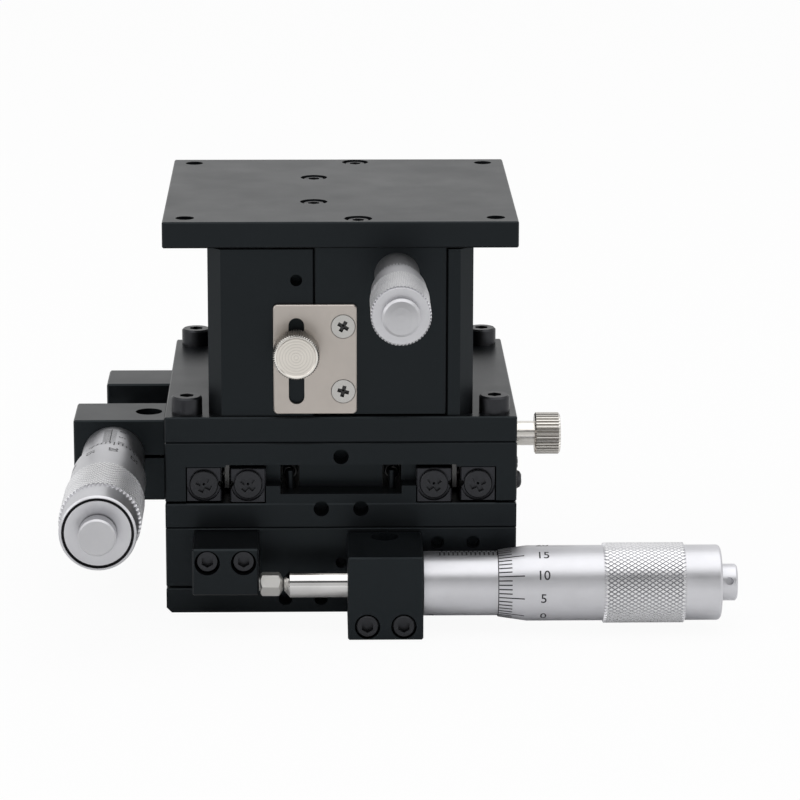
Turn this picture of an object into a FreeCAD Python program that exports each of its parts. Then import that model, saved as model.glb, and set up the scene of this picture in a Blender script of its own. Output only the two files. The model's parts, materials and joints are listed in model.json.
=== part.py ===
import FreeCAD, Part
import math
import os
from FreeCAD import Placement, Rotation, Vector

# Three-axis crossed-roller translation stage, in millimetres.
# Two equal horizontal stages are stacked crosswise, X below and Y above, and carry a
# vertical Z unit. Each horizontal stage is drawn once in its own frame, in which x is
# the travel and u is the direction across it, and is then set down twice.
# Origin: centre of the underside of the base. +X to the right, +Y to the back, +Z up.

# ---- driving dimensions of the whole stage ----
PLATE = 80.0                # side of every square plate
STAGE_HEIGHT = 20.0         # height of one horizontal stage
Z_BASE_THICKNESS = 6.0      # plate under the Z column
COLUMN_HEIGHT = 39.0        # from that plate to the underside of the top plate
TOP_THICKNESS = 6.0         # top plate
EDGE_CHAMFER = 0.3          # on the edges of machined blocks
FOOT_CHAMFER = 1.2          # on the lower left and right edges of the base
HORIZONTAL_TRAVEL = 25.0    # whole travel of X and of Y
VERTICAL_TRAVEL = 10.0      # whole travel of Z
FIT = 0.03                  # radial clearance of screws and pins in their holes
RUNNING_FIT = 0.05          # radial clearance of a shaft that turns or slides
HOLE_SPARE = 0.3            # depth of a blind hole past the tip of its screw or pin

# ---- section of one horizontal stage ----
SLAB_THICKNESS = 5.75       # lower slab
TABLE_BOTTOM = 6.1          # lower edge of the table's side flanges
RIB_OUTER = 17.1            # back face of the inner rails
RIB_INNER = 13.8
RIB_TOP = 14.1
RIB_STEP_TOP = 9.8          # the ribs are cut down to this at their ends
RIB_STEP_LENGTH = 5.0
FLOOR_TOP = 7.9             # raised floor between the ribs
CORE_HALF = 9.5             # half width of the block between the springs
CORE_TOP = 13.9
CORE_SETBACK = 7.0          # from the slab's ends
CENTRE_ROOF = 14.85         # underside of the table's web over the inner rails

# ---- crossed-roller rails ----
RAIL_WIDTH = 8.15
RAIL_HEIGHT = 8.3
RAIL_GAP = 1.9              # between the facing rails
RAIL_GROOVE_LEVEL = 4.3     # from a rail's seat to its V groove
RAIL_LENGTH = 79.0
ROLLER_DIAMETER = 3.0
ROLLER_LENGTH = 2.9
ROLLER_PLAY = 0.02
ROLLERS_PER_ROW = 9
ROLLER_PITCH = 6.2
CAGE_LENGTH = 58.0
CAGE_THICKNESS = 1.0
CAGE_HEIGHT = 7.0
END_HEAD_DIAMETER = 6.5     # flat cross-recess screws that close the rails' ends
END_HEAD_THICKNESS = 1.2
END_RECESS_DIAMETER = 7.7
END_SCREW_LENGTH = 6.0
RAIL_SCREW_INSET = 12.5     # from a rail's end to its first mounting screw
RAIL_SCREWS = 4
RAIL_SCREW_LENGTH = 6.0

# ---- screws ----
M3 = 3.0
M3_HEAD = 5.1
M3_HEAD_HEIGHT = 3.0
M3_SOCKET = 2.5
M3_BORE = 5.7               # counterbore for an M3 head
M4 = 4.0
M4_HEAD = 7.0
M4_HEAD_HEIGHT = 4.0
M4_SOCKET = 3.0
M3_TAP = 2.5                # bores of empty threads
M4_TAP = 3.3
M5_TAP = 4.2
SCREW_CLEARANCE = 0.4       # added to a screw's diameter where it only passes through

# ---- micrometer bracket, stop block and anvil of a horizontal stage ----
BRACKET_WIDTH = 16.9
BRACKET_REACH = 22.0        # how far it stands out from the plate's side
BRACKET_HEIGHT = 19.2
BRACKET_CHAMFER = 0.35
BRACKET_CENTRE = 9.8        # from the stage's middle, towards the thimble
BRACKET_RELIEF = 0.7        # gap between the bracket and the moving table
BRACKET_FOOT_INSET = 0.5    # of the foot that touches the slab, from the bracket's edges
BRACKET_FOOT_DROP = 0.8     # of the foot's upper edge, below the moving table
BRACKET_SCREW_SPACING = 8.15
BRACKET_SCREW_LEVEL = 3.15  # above the bracket's own underside
BRACKET_SCREW_LENGTH = 25.0
SPARE_HOLE_SHIFT = 1.1      # of the empty bracket holes, for a bracket on the other side
CLAMP_SLIT = 0.8
CLAMP_SCREW_OUT = 4.8       # from the plate's side
CLAMP_SCREW_LENGTH = 12.0
CLAMP_BORE_DEPTH = 5.0
CLAMP_BORE = 6.2
AXIS_OUT = 12.8             # micrometer axis, from the plate's side
AXIS_LEVEL = 10.5           # micrometer axis, above the bracket's underside
STOP_WIDTH = 14.95
STOP_REACH = 16.3
STOP_HEIGHT = 10.85
STOP_CHAMFER = 0.4
STOP_SCREW_SPACING = 8.15
STOP_SCREW_DROP = 3.2       # from the block's top
STOP_BORE_DEPTH = 4.25
STOP_SCREW_LENGTH = 16.0
ANVIL_FLATS = 4.8
ANVIL_NECK_LENGTH = 0.35    # bare shank between the stop block and the hexagon
ANVIL_TIP_LENGTH = 0.8
ANVIL_SHANK_LENGTH = 6.0    # inside the stop block

# ---- the two large micrometer heads ----
SCREW_PITCH = 0.5
SLEEVE_DIAMETER = 14.5
STEM_DIAMETER = 9.5
SLEEVE_LENGTH = 33.0        # graduated barrel, from the bracket
SPINDLE_DIAMETER = 6.1
SPINDLE_TIP_DIAMETER = 3.3
SPINDLE_TIP_LENGTH = 1.25
SPINDLE_STAND_OUT = 47.95   # from the spindle's tip to the thimble's edge
TAIL_DIAMETER = 4.0
THIMBLE_LENGTH = 50.3
THIMBLE_EDGE_DIAMETER = 15.1
THIMBLE_DIAMETER = 17.0
THIMBLE_BORE = 14.7
BEVEL_LENGTH = 6.6
KNURL_DIAMETER = 18.1
KNURL_START = 23.7          # from the thimble's edge
KNURL_END = 42.2
THIMBLE_END_WALL = 4.0
END_GROOVE_DIAMETER = 15.1
END_GROOVE_WIDTH = 0.6
END_GROOVE_DEPTH = 0.8
CAP_DIAMETER = 8.3
CAP_LENGTH = 3.8
CAP_HOLE_DIAMETER = 1.8
CAP_HOLE_RISE = 19.0        # degrees above level

# ---- how the two horizontal stages differ, lower and upper ----
BRACKET_LIFTS = (0.0, 0.8)          # of the bracket's underside above the slab's
READINGS = (16.8, 15.6)             # from the bracket to the thimble's edge
STOP_CENTRES = (-26.05, -27.4)      # along the travel
STOP_TOPS = (19.65, 19.5)           # above the slab's underside

# ---- empty threads in the ends of the slabs and tables ----
END_HOLE = 3.5
END_HOLE_DEPTH = 6.0
END_HOLE_SPACING = 9.0              # the slab has two in each end, the table has one
SLAB_HOLE_LEVEL = 4.45
TABLE_HOLE_LEVEL = 16.7
LOCK_HOLE_DROP = 0.3                # empty lock hole on the bracket's side, below the other

# ---- travel locks ----
LOCK_PLATE_LENGTH = 36.0
LOCK_PLATE_TOP = 16.0
LOCK_PLATE_BOTTOM = 0.8
LOCK_PLATE_THICKNESS = 1.2
LOCK_PLATE_RELIEF = 0.15
LOCK_PLATE_CORNER = 1.5
LOCK_SLOT_LEVEL = 12.0
LOCK_SCREW_SPACING = 16.0
LOCK_SCREW_LEVEL = 2.8
PAN_HEAD_DIAMETER = 4.4
PAN_HEAD_HEIGHT = 1.55
PAN_SCREW_DIAMETER = 2.5
PAN_SCREW_LENGTH = 5.0
THUMB_THREAD = 4.0
THUMB_THREAD_LENGTH = 5.0
THUMB_NECK_DIAMETER = 5.8
THUMB_NECK_LENGTH = 4.9
THUMB_KNOB_DIAMETER = 9.9
THUMB_KNOB_LENGTH = 6.1

# ---- return springs ----
SPRING_OUT = 11.65          # from the stage's middle
SPRING_LEVEL = 11.4
SPRING_DIAMETER = 3.2
SPRING_WIRE = 0.5
SPRING_PITCH = 2.4
POST_DIAMETER = 1.6
POST_PAST_AXIS = 0.7        # how far a post reaches past the spring's axis
FIXED_POST = 34.0           # along the travel
MOVING_POST = -24.0

# ---- Z unit ----
COLUMN_WIDTH = 60.0
COLUMN_DEPTH = 78.0
COLUMN_CORNER = 3.0         # chamfer on the column's upright edges
CARRIAGE_LEFT = -5.85
CARRIAGE_RIGHT = 23.85
SEAM = 0.15                 # gap between the carriage and the fixed blocks
LIP_WIDTH = 0.5             # lips of the fixed blocks that close the seams at the back
LIP_DEPTH = 2.0
END_GAP = 0.5               # above the fixed blocks, and below the carriage
EAR_LEFT = -12.0            # step of the carriage over the fixed block
EAR_HALF_DEPTH = 22.0
EAR_HEIGHT = 12.0
Z_RAIL_DEPTH = 3.6
Z_RAIL_WIDTH = 6.0
Z_RAIL_LENGTH = 24.0
Z_RAIL_GAP = 1.2
Z_ROLLER_DIAMETER = 2.0
Z_ROLLER_LENGTH = 1.9
Z_ROLLERS = 5
Z_ROLLER_PITCH = 2.9
Z_CAGE_LENGTH = 14.5
Z_CAGE_THICKNESS = 0.6
Z_CAGE_WIDTH = 5.0
Z_AXIS_X = 12.7             # small micrometer head
Z_AXIS_BELOW_TOP = 6.35     # below the underside of the top plate
Z_SLEEVE_DIAMETER = 10.2
Z_STEM_DIAMETER = 8.0
Z_STEM_LENGTH = 14.0
Z_SLEEVE_OVERLAP = 11.0     # length of the sleeve inside the thimble
Z_SPINDLE_DIAMETER = 5.0
Z_TAIL_DIAMETER = 3.0       # end of the spindle, in the thimble's end wall
Z_TAIL_LENGTH = 3.0
Z_THIMBLE_START = 14.5      # from the column's front face
Z_THIMBLE_LENGTH = 28.6
Z_THIMBLE_END_WALL = 4.0
Z_BEVEL_LENGTH = 5.0
Z_THIMBLE_EDGE = 11.3
Z_THIMBLE_DIAMETER = 12.4
Z_THIMBLE_BORE = 10.4
Z_KNURL_DIAMETER = 13.1
Z_KNURL_START = 12.5
Z_CAP_DIAMETER = 8.4
Z_CAP_LENGTH = 2.6
Z_CAP_ROUNDING = 1.0
WEDGE_WIDTH = 8.0
WEDGE_REAR = 2.0            # thick end, where the spindle pushes
WEDGE_HEIGHT = 18.0         # also its length, for a 45 degree face
WEDGE_TOP_BELOW = 3.0       # its upper face, below the underside of the top plate
WEDGE_PIN_DIAMETER = 4.0
WEDGE_CONTACT = 17.0
WEDGE_PIN_IN_BLOCK = 7.8    # length of the pin held in the left block
WEDGE_PIN_IN_WALL = 3.8
Z_SPRING_X = 3.5            # return spring, on a long screw standing on the Z base plate
Z_SPRING_Y = -22.0
Z_SPRING_DIAMETER = 5.2
Z_SPRING_WIRE = 0.8
Z_SPRING_TURNS = 6
Z_SPRING_BORE = 6.4
Z_SPRING_FLOOR = 6.0        # its seat in the carriage, above the Z base plate
Z_SPRING_SCREW_LENGTH = 35.0
Z_SPRING_SCREW_GRIP = 5.5   # length of it in the Z base plate
Z_PLATE_LEFT = -15.2
Z_PLATE_RIGHT = 3.6
Z_PLATE_BOTTOM = 0.7        # above the Z base plate
Z_PLATE_HEIGHT = 25.3
Z_PLATE_THICKNESS = 1.0
Z_PLATE_CORNER = 1.0
Z_PLATE_BREAK = 0.2         # chamfer round its front face
Z_PLATE_HEAD = 5.3          # countersunk screws that hold it
Z_PLATE_HEAD_DEPTH = 1.0
Z_PLATE_HEAD_GAP = 0.15     # round their heads
Z_PLATE_SCREW_LENGTH = 6.0
Z_SLOT_X = -10.0
Z_SLOT_BOTTOM = 3.05        # above the Z base plate
Z_SLOT_TOP = 23.0
Z_SLOT_WIDTH = 3.55
Z_PLATE_SCREW_X = 0.55
Z_PLATE_SCREW_LEVELS = (6.0, 21.0)
Z_THUMB_LEVEL = 15.7
Z_THUMB_THREAD = 3.3
Z_THUMB_THREAD_LENGTH = 7.0
Z_THUMB_NECK = 5.0
Z_THUMB_NECK_LENGTH = 2.0
Z_THUMB_KNOB = 10.5
Z_THUMB_KNOB_LENGTH = 6.0
Z_SPARE_HOLE = 2.7          # empty thread over the clamp plate's slot
Z_SPARE_HOLE_DEPTH = 6.0
Z_SPARE_HOLE_DROP = 7.6     # below the underside of the top plate

# ---- plates and their fixings ----
CORNER_HOLE_PITCH = 70.0    # of the top plate, the base and the Z base plate
SADDLE_SCREW_PLACE = 31.0   # from the middle, both ways
SADDLE_SCREW_LENGTH = 8.0
SADDLE_HEAD = 8.0
SADDLE_HEAD_DEPTH = 2.3
SADDLE_HEAD_DROP = 0.1
PLATE_SCREW_LENGTH = 10.0
COLUMN_SCREWS = [(-20.0, -28.0), (-20.0, 28.0), (27.0, -28.0), (27.0, 28.0)]
COLUMN_SCREW_SINK = 4.2
TOP_SCREW_X = 4.0           # the two screws near the carriage's ends
TOP_SCREW_INSET = 3.0       # from those ends
EAR_SCREW_X = -6.0          # the two screws in the carriage's step
EAR_SCREW_Y = 15.5
TOP_SCREW_BORE = 6.3
TOP_SCREW_SINK = 3.3
TOP_SCREW_LENGTH = 8.0

# ---- levels and faces worked out from them ----
HALF = PLATE / 2
RAIL_SEAT = SLAB_THICKNESS
GROOVE_LEVEL = RAIL_SEAT + RAIL_GROOVE_LEVEL
OUTER_RAIL_TOP = GROOVE_LEVEL + RAIL_GROOVE_LEVEL
INNER_FACE = RIB_OUTER + RAIL_WIDTH
GROOVE_CENTRE = INNER_FACE + RAIL_GAP / 2
OUTER_FACE = INNER_FACE + RAIL_GAP
FLANGE_FACE = OUTER_FACE + RAIL_WIDTH
Y_STAGE_LEVEL = STAGE_HEIGHT
Z_PLATE_LEVEL = 2 * STAGE_HEIGHT
COLUMN_FOOT = Z_PLATE_LEVEL + Z_BASE_THICKNESS
TOP_UNDERSIDE = COLUMN_FOOT + COLUMN_HEIGHT
TOP_FACE = TOP_UNDERSIDE + TOP_THICKNESS
COLUMN_FRONT = -COLUMN_DEPTH / 2
COLUMN_HALF = COLUMN_WIDTH / 2
FIXED_TOP = TOP_UNDERSIDE - END_GAP
LEFT_SEAM = CARRIAGE_LEFT - SEAM / 2
RIGHT_SEAM = CARRIAGE_RIGHT + SEAM / 2
Z_AXIS_LEVEL = TOP_UNDERSIDE - Z_AXIS_BELOW_TOP
WEDGE_TOP = TOP_UNDERSIDE - WEDGE_TOP_BELOW
Z_RAIL_BOTTOM = COLUMN_FOOT + 1.5
FRONT_RELIEF = 0.15         # the fixed blocks stand this far behind the carriage's front

X_AXIS = Vector(1, 0, 0)
Y_AXIS = Vector(0, 1, 0)
Z_AXIS = Vector(0, 0, 1)


# ---- simple shapes ----
def box(x0, x1, y0, y1, z0, z1):
    return Part.makeBox(x1 - x0, y1 - y0, z1 - z0, Vector(x0, y0, z0))


def block(x0, x1, y0, y1, z0, z1, chamfer=EDGE_CHAMFER):
    plain = box(x0, x1, y0, y1, z0, z1)
    return plain.makeChamfer(chamfer, plain.Edges)


def cylinder(diameter, start, end):
    run = end - start
    return Part.makeCylinder(diameter / 2, run.Length, start, run)


def join(shapes):
    whole = shapes[0].multiFuse(shapes[1:])
    return whole.removeSplitter()


def cut(shape, tools):
    return shape.cut(Part.makeCompound(tools)) if tools else shape


def aim(shape, origin, direction):
    """Moves a shape drawn along +Z from the origin to lie along a direction."""
    placed = shape.copy()
    placed.Placement = Placement(origin, Rotation(Z_AXIS, direction))
    return placed


def turned(profile):
    """Solid of revolution about +Z from (distance along, radius) points."""
    points = [Vector(radius, 0, along) for along, radius in profile]
    wire = Part.makePolygon(points + [points[0]])
    return Part.Face(wire).revolve(Vector(0, 0, 0), Z_AXIS, 360)


def hexagon(flats, length):
    corners = []
    for step in range(7):
        angle = math.radians(60 * step + 30)
        reach = flats / math.sqrt(3)
        corners.append(Vector(reach * math.cos(angle), reach * math.sin(angle), 0))
    return Part.Face(Part.makePolygon(corners)).extrude(Vector(0, 0, length))


def mirrored_pairs(distance):
    return [(sx * distance, sy * distance) for sx in (-1, 1) for sy in (-1, 1)]


# ---- screws: the shank runs along the direction from the seat under the head ----
def cap_screw(size, head, head_height, socket, length, seat, direction):
    bevel = 0.06 * head
    profile = [(-head_height, 0), (-head_height, head / 2 - bevel),
               (-head_height + bevel, head / 2), (0, head / 2), (0, size / 2),
               (length - 0.4, size / 2), (length, size / 2 - 0.4), (length, 0)]
    recess = hexagon(socket, head_height * 0.55)
    recess.translate(Vector(0, 0, -head_height))
    return aim(turned(profile).cut(recess), seat, direction)


def m3_screw(length, seat, direction):
    return cap_screw(M3, M3_HEAD, M3_HEAD_HEIGHT, M3_SOCKET, length, seat, direction)


def m4_screw(length, seat, direction):
    return cap_screw(M4, M4_HEAD, M4_HEAD_HEIGHT, M4_SOCKET, length, seat, direction)


def cross_recess(width, depth, seat):
    """Cross with a deeper middle; screws at different places stand at different turns."""
    turn = 37 * (seat.x + seat.y + seat.z) % 90
    pit = Part.makeCone(width / 4, 0, 1.5 * depth, Vector(0, 0, 0), Z_AXIS)
    shapes = [pit]
    for angle in (0, 90):
        bar = box(-width / 2, width / 2, -width / 6, width / 6, 0, depth)
        bar.rotate(Vector(0, 0, 0), Z_AXIS, angle + turn)
        shapes.append(bar)
    return join(shapes)


def flat_screw(head, thickness, size, length, seat, direction):
    """Disc-headed cross-recess screw."""
    profile = [(-thickness, 0), (-thickness, head / 2 - 0.2), (-thickness + 0.2, head / 2),
               (0, head / 2), (0, size / 2), (length, size / 2), (length, 0)]
    recess = cross_recess(head * 0.55, thickness * 0.7, seat)
    recess.translate(Vector(0, 0, -thickness))
    return aim(turned(profile).cut(recess), seat, direction)


def pan_screw(seat, direction):
    head = PAN_HEAD_DIAMETER / 2
    shank = PAN_SCREW_DIAMETER / 2
    high = PAN_HEAD_HEIGHT
    profile = [(-high, 0), (-high, head * 0.55), (-high * 0.75, head * 0.85),
               (-high * 0.35, head), (0, head), (0, shank),
               (PAN_SCREW_LENGTH, shank), (PAN_SCREW_LENGTH, 0)]
    recess = cross_recess(head * 1.15, high * 0.6, seat)
    recess.translate(Vector(0, 0, -high))
    return aim(turned(profile).cut(recess), seat, direction)


def countersunk_screw(head, depth, size, length, top, direction):
    """The top of the head lies at 'top', and the shank runs along the direction."""
    profile = [(0, 0), (0, head / 2), (0.2, head / 2), (depth, size / 2),
               (length, size / 2), (length, 0)]
    recess = cross_recess(head * 0.5, depth, top)
    return aim(turned(profile).cut(recess), top, direction)


def thumb_screw(thread, thread_length, neck, neck_length, knob, knob_length, seat, direction):
    """The neck starts at 'seat'; the knob lies along the direction, the thread behind."""
    start = neck_length
    end = neck_length + knob_length
    profile = [(-thread_length, 0), (-thread_length, thread / 2), (0, thread / 2),
               (0, neck / 2), (start, neck / 2), (start, knob / 2 - 0.3),
               (start + 0.3, knob / 2), (end - 0.3, knob / 2), (end, knob / 2 - 0.3),
               (end, 0)]
    return aim(turned(profile), seat, direction)


def coil(diameter, wire, pitch, length):
    """Plain coil of wire along +Z, starting at +X."""
    mean = (diameter - wire) / 2
    helix = Part.makeHelix(pitch, length, mean)
    section = Part.Wire([Part.makeCircle(wire / 2, Vector(mean, 0, 0), Y_AXIS)])
    return Part.Wire(helix).makePipeShell([section], True, True)


def pull_spring(start, end):
    """Coil between two posts: each post stands inside it, between its last turns."""
    run = end - start
    turns = round(run.Length / SPRING_PITCH - 0.5) + 0.5
    pitch = run.Length / turns
    wound = coil(SPRING_DIAMETER, SPRING_WIRE, pitch, run.Length + 2 * pitch)
    wound.translate(Vector(0, 0, -pitch))
    return aim(wound, start, run)


# ---- crossed-roller rails, drawn along x with the groove facing +u (+y) ----
def rail_screw_places():
    first = -RAIL_LENGTH / 2 + RAIL_SCREW_INSET
    pitch = -2 * first / (RAIL_SCREWS - 1)
    return [first + step * pitch for step in range(RAIL_SCREWS)]


def diamond(half_diagonal, x0, x1, u, z):
    corners = [Vector(x0, u - half_diagonal, z), Vector(x0, u, z + half_diagonal),
               Vector(x0, u + half_diagonal, z), Vector(x0, u, z - half_diagonal)]
    wire = Part.makePolygon(corners + [corners[0]])
    return Part.Face(wire).extrude(Vector(x1 - x0, 0, 0))


def groove_half(diameter):
    return (diameter / 2 + ROLLER_PLAY) * math.sqrt(2)


def rail(back, face, bottom):
    """Rail from its back to its grooved face; 'back' and 'face' are distances u."""
    half = RAIL_LENGTH / 2
    inward = 1 if back > face else -1
    body = block(-half, half, min(back, face), max(back, face), bottom, bottom + RAIL_HEIGHT)
    groove = diamond(groove_half(ROLLER_DIAMETER), -half - 1, half + 1,
                     GROOVE_CENTRE, GROOVE_LEVEL)
    tools = [groove]
    middle = (back + face) / 2
    for side in (-1, 1):
        end = Vector(side * half, middle, GROOVE_LEVEL)
        floor = end - Vector(side * END_HEAD_THICKNESS, 0, 0)
        tools.append(cylinder(END_RECESS_DIAMETER, end + Vector(side, 0, 0), floor))
        depth = Vector(side * (END_SCREW_LENGTH + HOLE_SPARE), 0, 0)
        tools.append(cylinder(M3 + 2 * FIT, floor, floor - depth))
    for place in rail_screw_places():
        mouth = Vector(place, face, GROOVE_LEVEL)
        seat = Vector(place, rail_screw_seat(face, inward), GROOVE_LEVEL)
        tools.append(cylinder(M3_BORE, mouth, seat))
        exit_point = Vector(place, back + inward, GROOVE_LEVEL)
        tools.append(cylinder(M3 + SCREW_CLEARANCE, seat, exit_point))
    return cut(body, tools)


def rail_screw_seat(face, inward):
    return face + inward * (M3_HEAD_HEIGHT + groove_half(ROLLER_DIAMETER)
                            - RAIL_GAP / 2 + 0.3)


def rail_screws(back, face):
    inward = 1 if back > face else -1
    seat = rail_screw_seat(face, inward)
    screws = []
    for place in rail_screw_places():
        at = Vector(place, seat, GROOVE_LEVEL)
        screws.append(m3_screw(RAIL_SCREW_LENGTH, at, Vector(0, inward, 0)))
    return screws


def rail_screw_holes(back, face):
    """Tapped holes for the rail screws in the part that carries the rail."""
    inward = 1 if back > face else -1
    seat = rail_screw_seat(face, inward)
    holes = []
    for place in rail_screw_places():
        start = Vector(place, seat, GROOVE_LEVEL)
        end = Vector(place, seat + inward * (RAIL_SCREW_LENGTH + HOLE_SPARE), GROOVE_LEVEL)
        holes.append(cylinder(M3 + 2 * FIT, start, end))
    return holes


def end_screws(back, face):
    middle = (back + face) / 2
    screws = []
    for side in (-1, 1):
        seat = Vector(side * (RAIL_LENGTH / 2 - END_HEAD_THICKNESS), middle, GROOVE_LEVEL)
        screws.append(flat_screw(END_HEAD_DIAMETER, END_HEAD_THICKNESS, M3,
                                 END_SCREW_LENGTH, seat, Vector(-side, 0, 0)))
    return screws


def cage():
    half = CAGE_LENGTH / 2
    strip = box(-half, half, GROOVE_CENTRE - CAGE_THICKNESS / 2,
                GROOVE_CENTRE + CAGE_THICKNESS / 2,
                GROOVE_LEVEL - CAGE_HEIGHT / 2, GROOVE_LEVEL + CAGE_HEIGHT / 2)
    windows = []
    for x in roller_places():
        wide = ROLLER_DIAMETER / 2 + 0.2
        high = ROLLER_DIAMETER * 0.75
        windows.append(box(x - wide, x + wide, OUTER_FACE - RAIL_GAP, OUTER_FACE,
                           GROOVE_LEVEL - high, GROOVE_LEVEL + high))
    return cut(strip, windows)


def roller_places():
    first = -(ROLLERS_PER_ROW - 1) / 2 * ROLLER_PITCH
    return [first + step * ROLLER_PITCH for step in range(ROLLERS_PER_ROW)]


def rollers():
    shapes = []
    for number, x in enumerate(roller_places()):
        lean = 1 if number % 2 else -1
        along = Vector(0, 1, lean).normalize() * (ROLLER_LENGTH / 2)
        middle = Vector(x, GROOVE_CENTRE, GROOVE_LEVEL)
        shapes.append(cylinder(ROLLER_DIAMETER, middle - along, middle + along))
    return shapes


def both_sides(shapes):
    """The shapes and their mirror images across the stage's middle."""
    return list(shapes) + [shape.mirror(Vector(0, 0, 0), Y_AXIS) for shape in shapes]


# ---- one horizontal stage in its own frame: x travels, the micrometer is at -u ----
class Stage:
    def __init__(self, bracket_lift, reading, stop_centre, stop_top):
        self.bracket_lift = bracket_lift
        self.reading = reading              # bracket face to thimble edge
        self.stop_centre = stop_centre
        self.stop_top = stop_top
        self.axis_level = bracket_lift + AXIS_LEVEL
        self.axis_u = -(HALF + AXIS_OUT)
        self.bracket_face = BRACKET_CENTRE + BRACKET_WIDTH / 2
        self.thimble_edge = self.bracket_face + reading
        self.spindle_tip = self.thimble_edge - SPINDLE_STAND_OUT

    def on_axis(self, x):
        return Vector(x, self.axis_u, self.axis_level)

    def slab(self, foot_chamfer, mounting_holes):
        plain = box(-HALF, HALF, -HALF, HALF, 0, SLAB_THICKNESS)
        low_ends = [edge for edge in plain.Edges
                    if edge.BoundBox.ZMax < 0.01 and edge.BoundBox.XLength < 0.01]
        slab = plain.makeChamfer(foot_chamfer, low_ends)
        upper = [edge for edge in slab.Edges if edge.BoundBox.ZMin > SLAB_THICKNESS - 0.01]
        slab = slab.makeChamfer(EDGE_CHAMFER, upper)
        floor = box(-HALF + EDGE_CHAMFER, HALF - EDGE_CHAMFER, -RIB_INNER - 1,
                    RIB_INNER + 1, SLAB_THICKNESS - 1, FLOOR_TOP)
        core = box(-HALF + CORE_SETBACK, HALF - CORE_SETBACK, -CORE_HALF, CORE_HALF,
                   FLOOR_TOP - 1, CORE_TOP)
        rib = box(-HALF + EDGE_CHAMFER, HALF - EDGE_CHAMFER, RIB_INNER, RIB_OUTER,
                  SLAB_THICKNESS - 1, RIB_TOP)
        steps = []
        for side in (-1, 1):
            near = side * (HALF - RIB_STEP_LENGTH)
            far = side * (HALF + 1)
            steps.append(box(min(near, far), max(near, far), RIB_INNER - 1, RIB_OUTER + 1,
                             RIB_STEP_TOP, RIB_TOP + 1))
        rib = cut(rib, steps)
        foot = Vector(FIXED_POST, SPRING_OUT, FLOOR_TOP - 1)
        tip = Vector(FIXED_POST, SPRING_OUT, SPRING_LEVEL + POST_PAST_AXIS)
        post = cylinder(POST_DIAMETER, foot, tip)
        body = join([slab, floor, core] + both_sides([rib, post]))
        holes = both_sides(rail_screw_holes(RIB_OUTER, INNER_FACE))
        holes += self.slab_holes()
        return cut(body, holes + mounting_holes)

    def slab_holes(self):
        holes = []
        for side in (-1, 1):
            for offset in (-END_HOLE_SPACING / 2, END_HOLE_SPACING / 2):
                mouth = Vector(side * (HALF + 1), offset, SLAB_HOLE_LEVEL)
                depth = Vector(side * (END_HOLE_DEPTH + 1), 0, 0)
                holes.append(cylinder(END_HOLE, mouth, mouth - depth))
        for x in self.bracket_screw_places():
            level = self.bracket_lift + BRACKET_SCREW_LEVEL
            inner = HALF - (BRACKET_SCREW_LENGTH + M3_HEAD_HEIGHT - BRACKET_REACH) - HOLE_SPARE
            for place in (x, x - 2 * BRACKET_CENTRE + SPARE_HOLE_SHIFT):
                holes.append(cylinder(M3 + 2 * FIT, Vector(place, -HALF - 1, level),
                                      Vector(place, -inner, level)))
        for x in (-LOCK_SCREW_SPACING / 2, LOCK_SCREW_SPACING / 2):
            holes.append(cylinder(PAN_SCREW_DIAMETER + 2 * FIT,
                                  Vector(x, HALF + 1, LOCK_SCREW_LEVEL),
                                  Vector(x, HALF - PAN_SCREW_LENGTH, LOCK_SCREW_LEVEL)))
        return holes

    def bracket_screw_places(self):
        half = BRACKET_SCREW_SPACING / 2
        return [BRACKET_CENTRE - half, BRACKET_CENTRE + half]

    def table(self, top_holes):
        outer = block(-HALF, HALF, -HALF, HALF, TABLE_BOTTOM, STAGE_HEIGHT)
        tools = [box(-HALF - 1, HALF + 1, -FLANGE_FACE, FLANGE_FACE,
                     TABLE_BOTTOM - 1, OUTER_RAIL_TOP),
                 box(-HALF - 1, HALF + 1, -GROOVE_CENTRE, GROOVE_CENTRE,
                     TABLE_BOTTOM, CENTRE_ROOF)]
        body = cut(outer, tools)
        root = Vector(MOVING_POST, SPRING_OUT, CENTRE_ROOF + 1)
        tip = Vector(MOVING_POST, SPRING_OUT, SPRING_LEVEL - POST_PAST_AXIS)
        post = cylinder(POST_DIAMETER, root, tip)
        body = join([body] + both_sides([post]))
        holes = both_sides(rail_screw_holes(FLANGE_FACE, OUTER_FACE))
        for side in (-1, 1):
            mouth = Vector(side * (HALF + 1), 0, TABLE_HOLE_LEVEL)
            reach = Vector(side * (END_HOLE_DEPTH + 1), 0, 0)
            holes.append(cylinder(END_HOLE, mouth, mouth - reach))
        level = self.stop_top - STOP_SCREW_DROP
        depth = self.stop_screw_depth() + HOLE_SPARE
        for x in self.stop_screw_places():
            for place in (x, -x):
                holes.append(cylinder(M3 + 2 * FIT, Vector(place, -HALF - 1, level),
                                      Vector(place, -HALF + depth, level)))
        holes.append(cylinder(THUMB_THREAD + 2 * RUNNING_FIT,
                              Vector(0, HALF + 1, LOCK_SLOT_LEVEL),
                              Vector(0, FLANGE_FACE - 1, LOCK_SLOT_LEVEL)))
        level = LOCK_SLOT_LEVEL - LOCK_HOLE_DROP
        holes.append(cylinder(M3_TAP, Vector(0, -HALF - 1, level),
                              Vector(0, -FLANGE_FACE + 1, level)))
        return cut(body, holes + top_holes)

    def stop_screw_places(self):
        half = STOP_SCREW_SPACING / 2
        return [self.stop_centre - half, self.stop_centre + half]

    def stop_screw_depth(self):
        return STOP_SCREW_LENGTH - (STOP_REACH - STOP_BORE_DEPTH)

    def inner_rails(self):
        return both_sides([rail(RIB_OUTER, INNER_FACE, RAIL_SEAT)])

    def outer_rails(self):
        return both_sides([rail(FLANGE_FACE, OUTER_FACE, OUTER_RAIL_TOP - RAIL_HEIGHT)])

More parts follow.
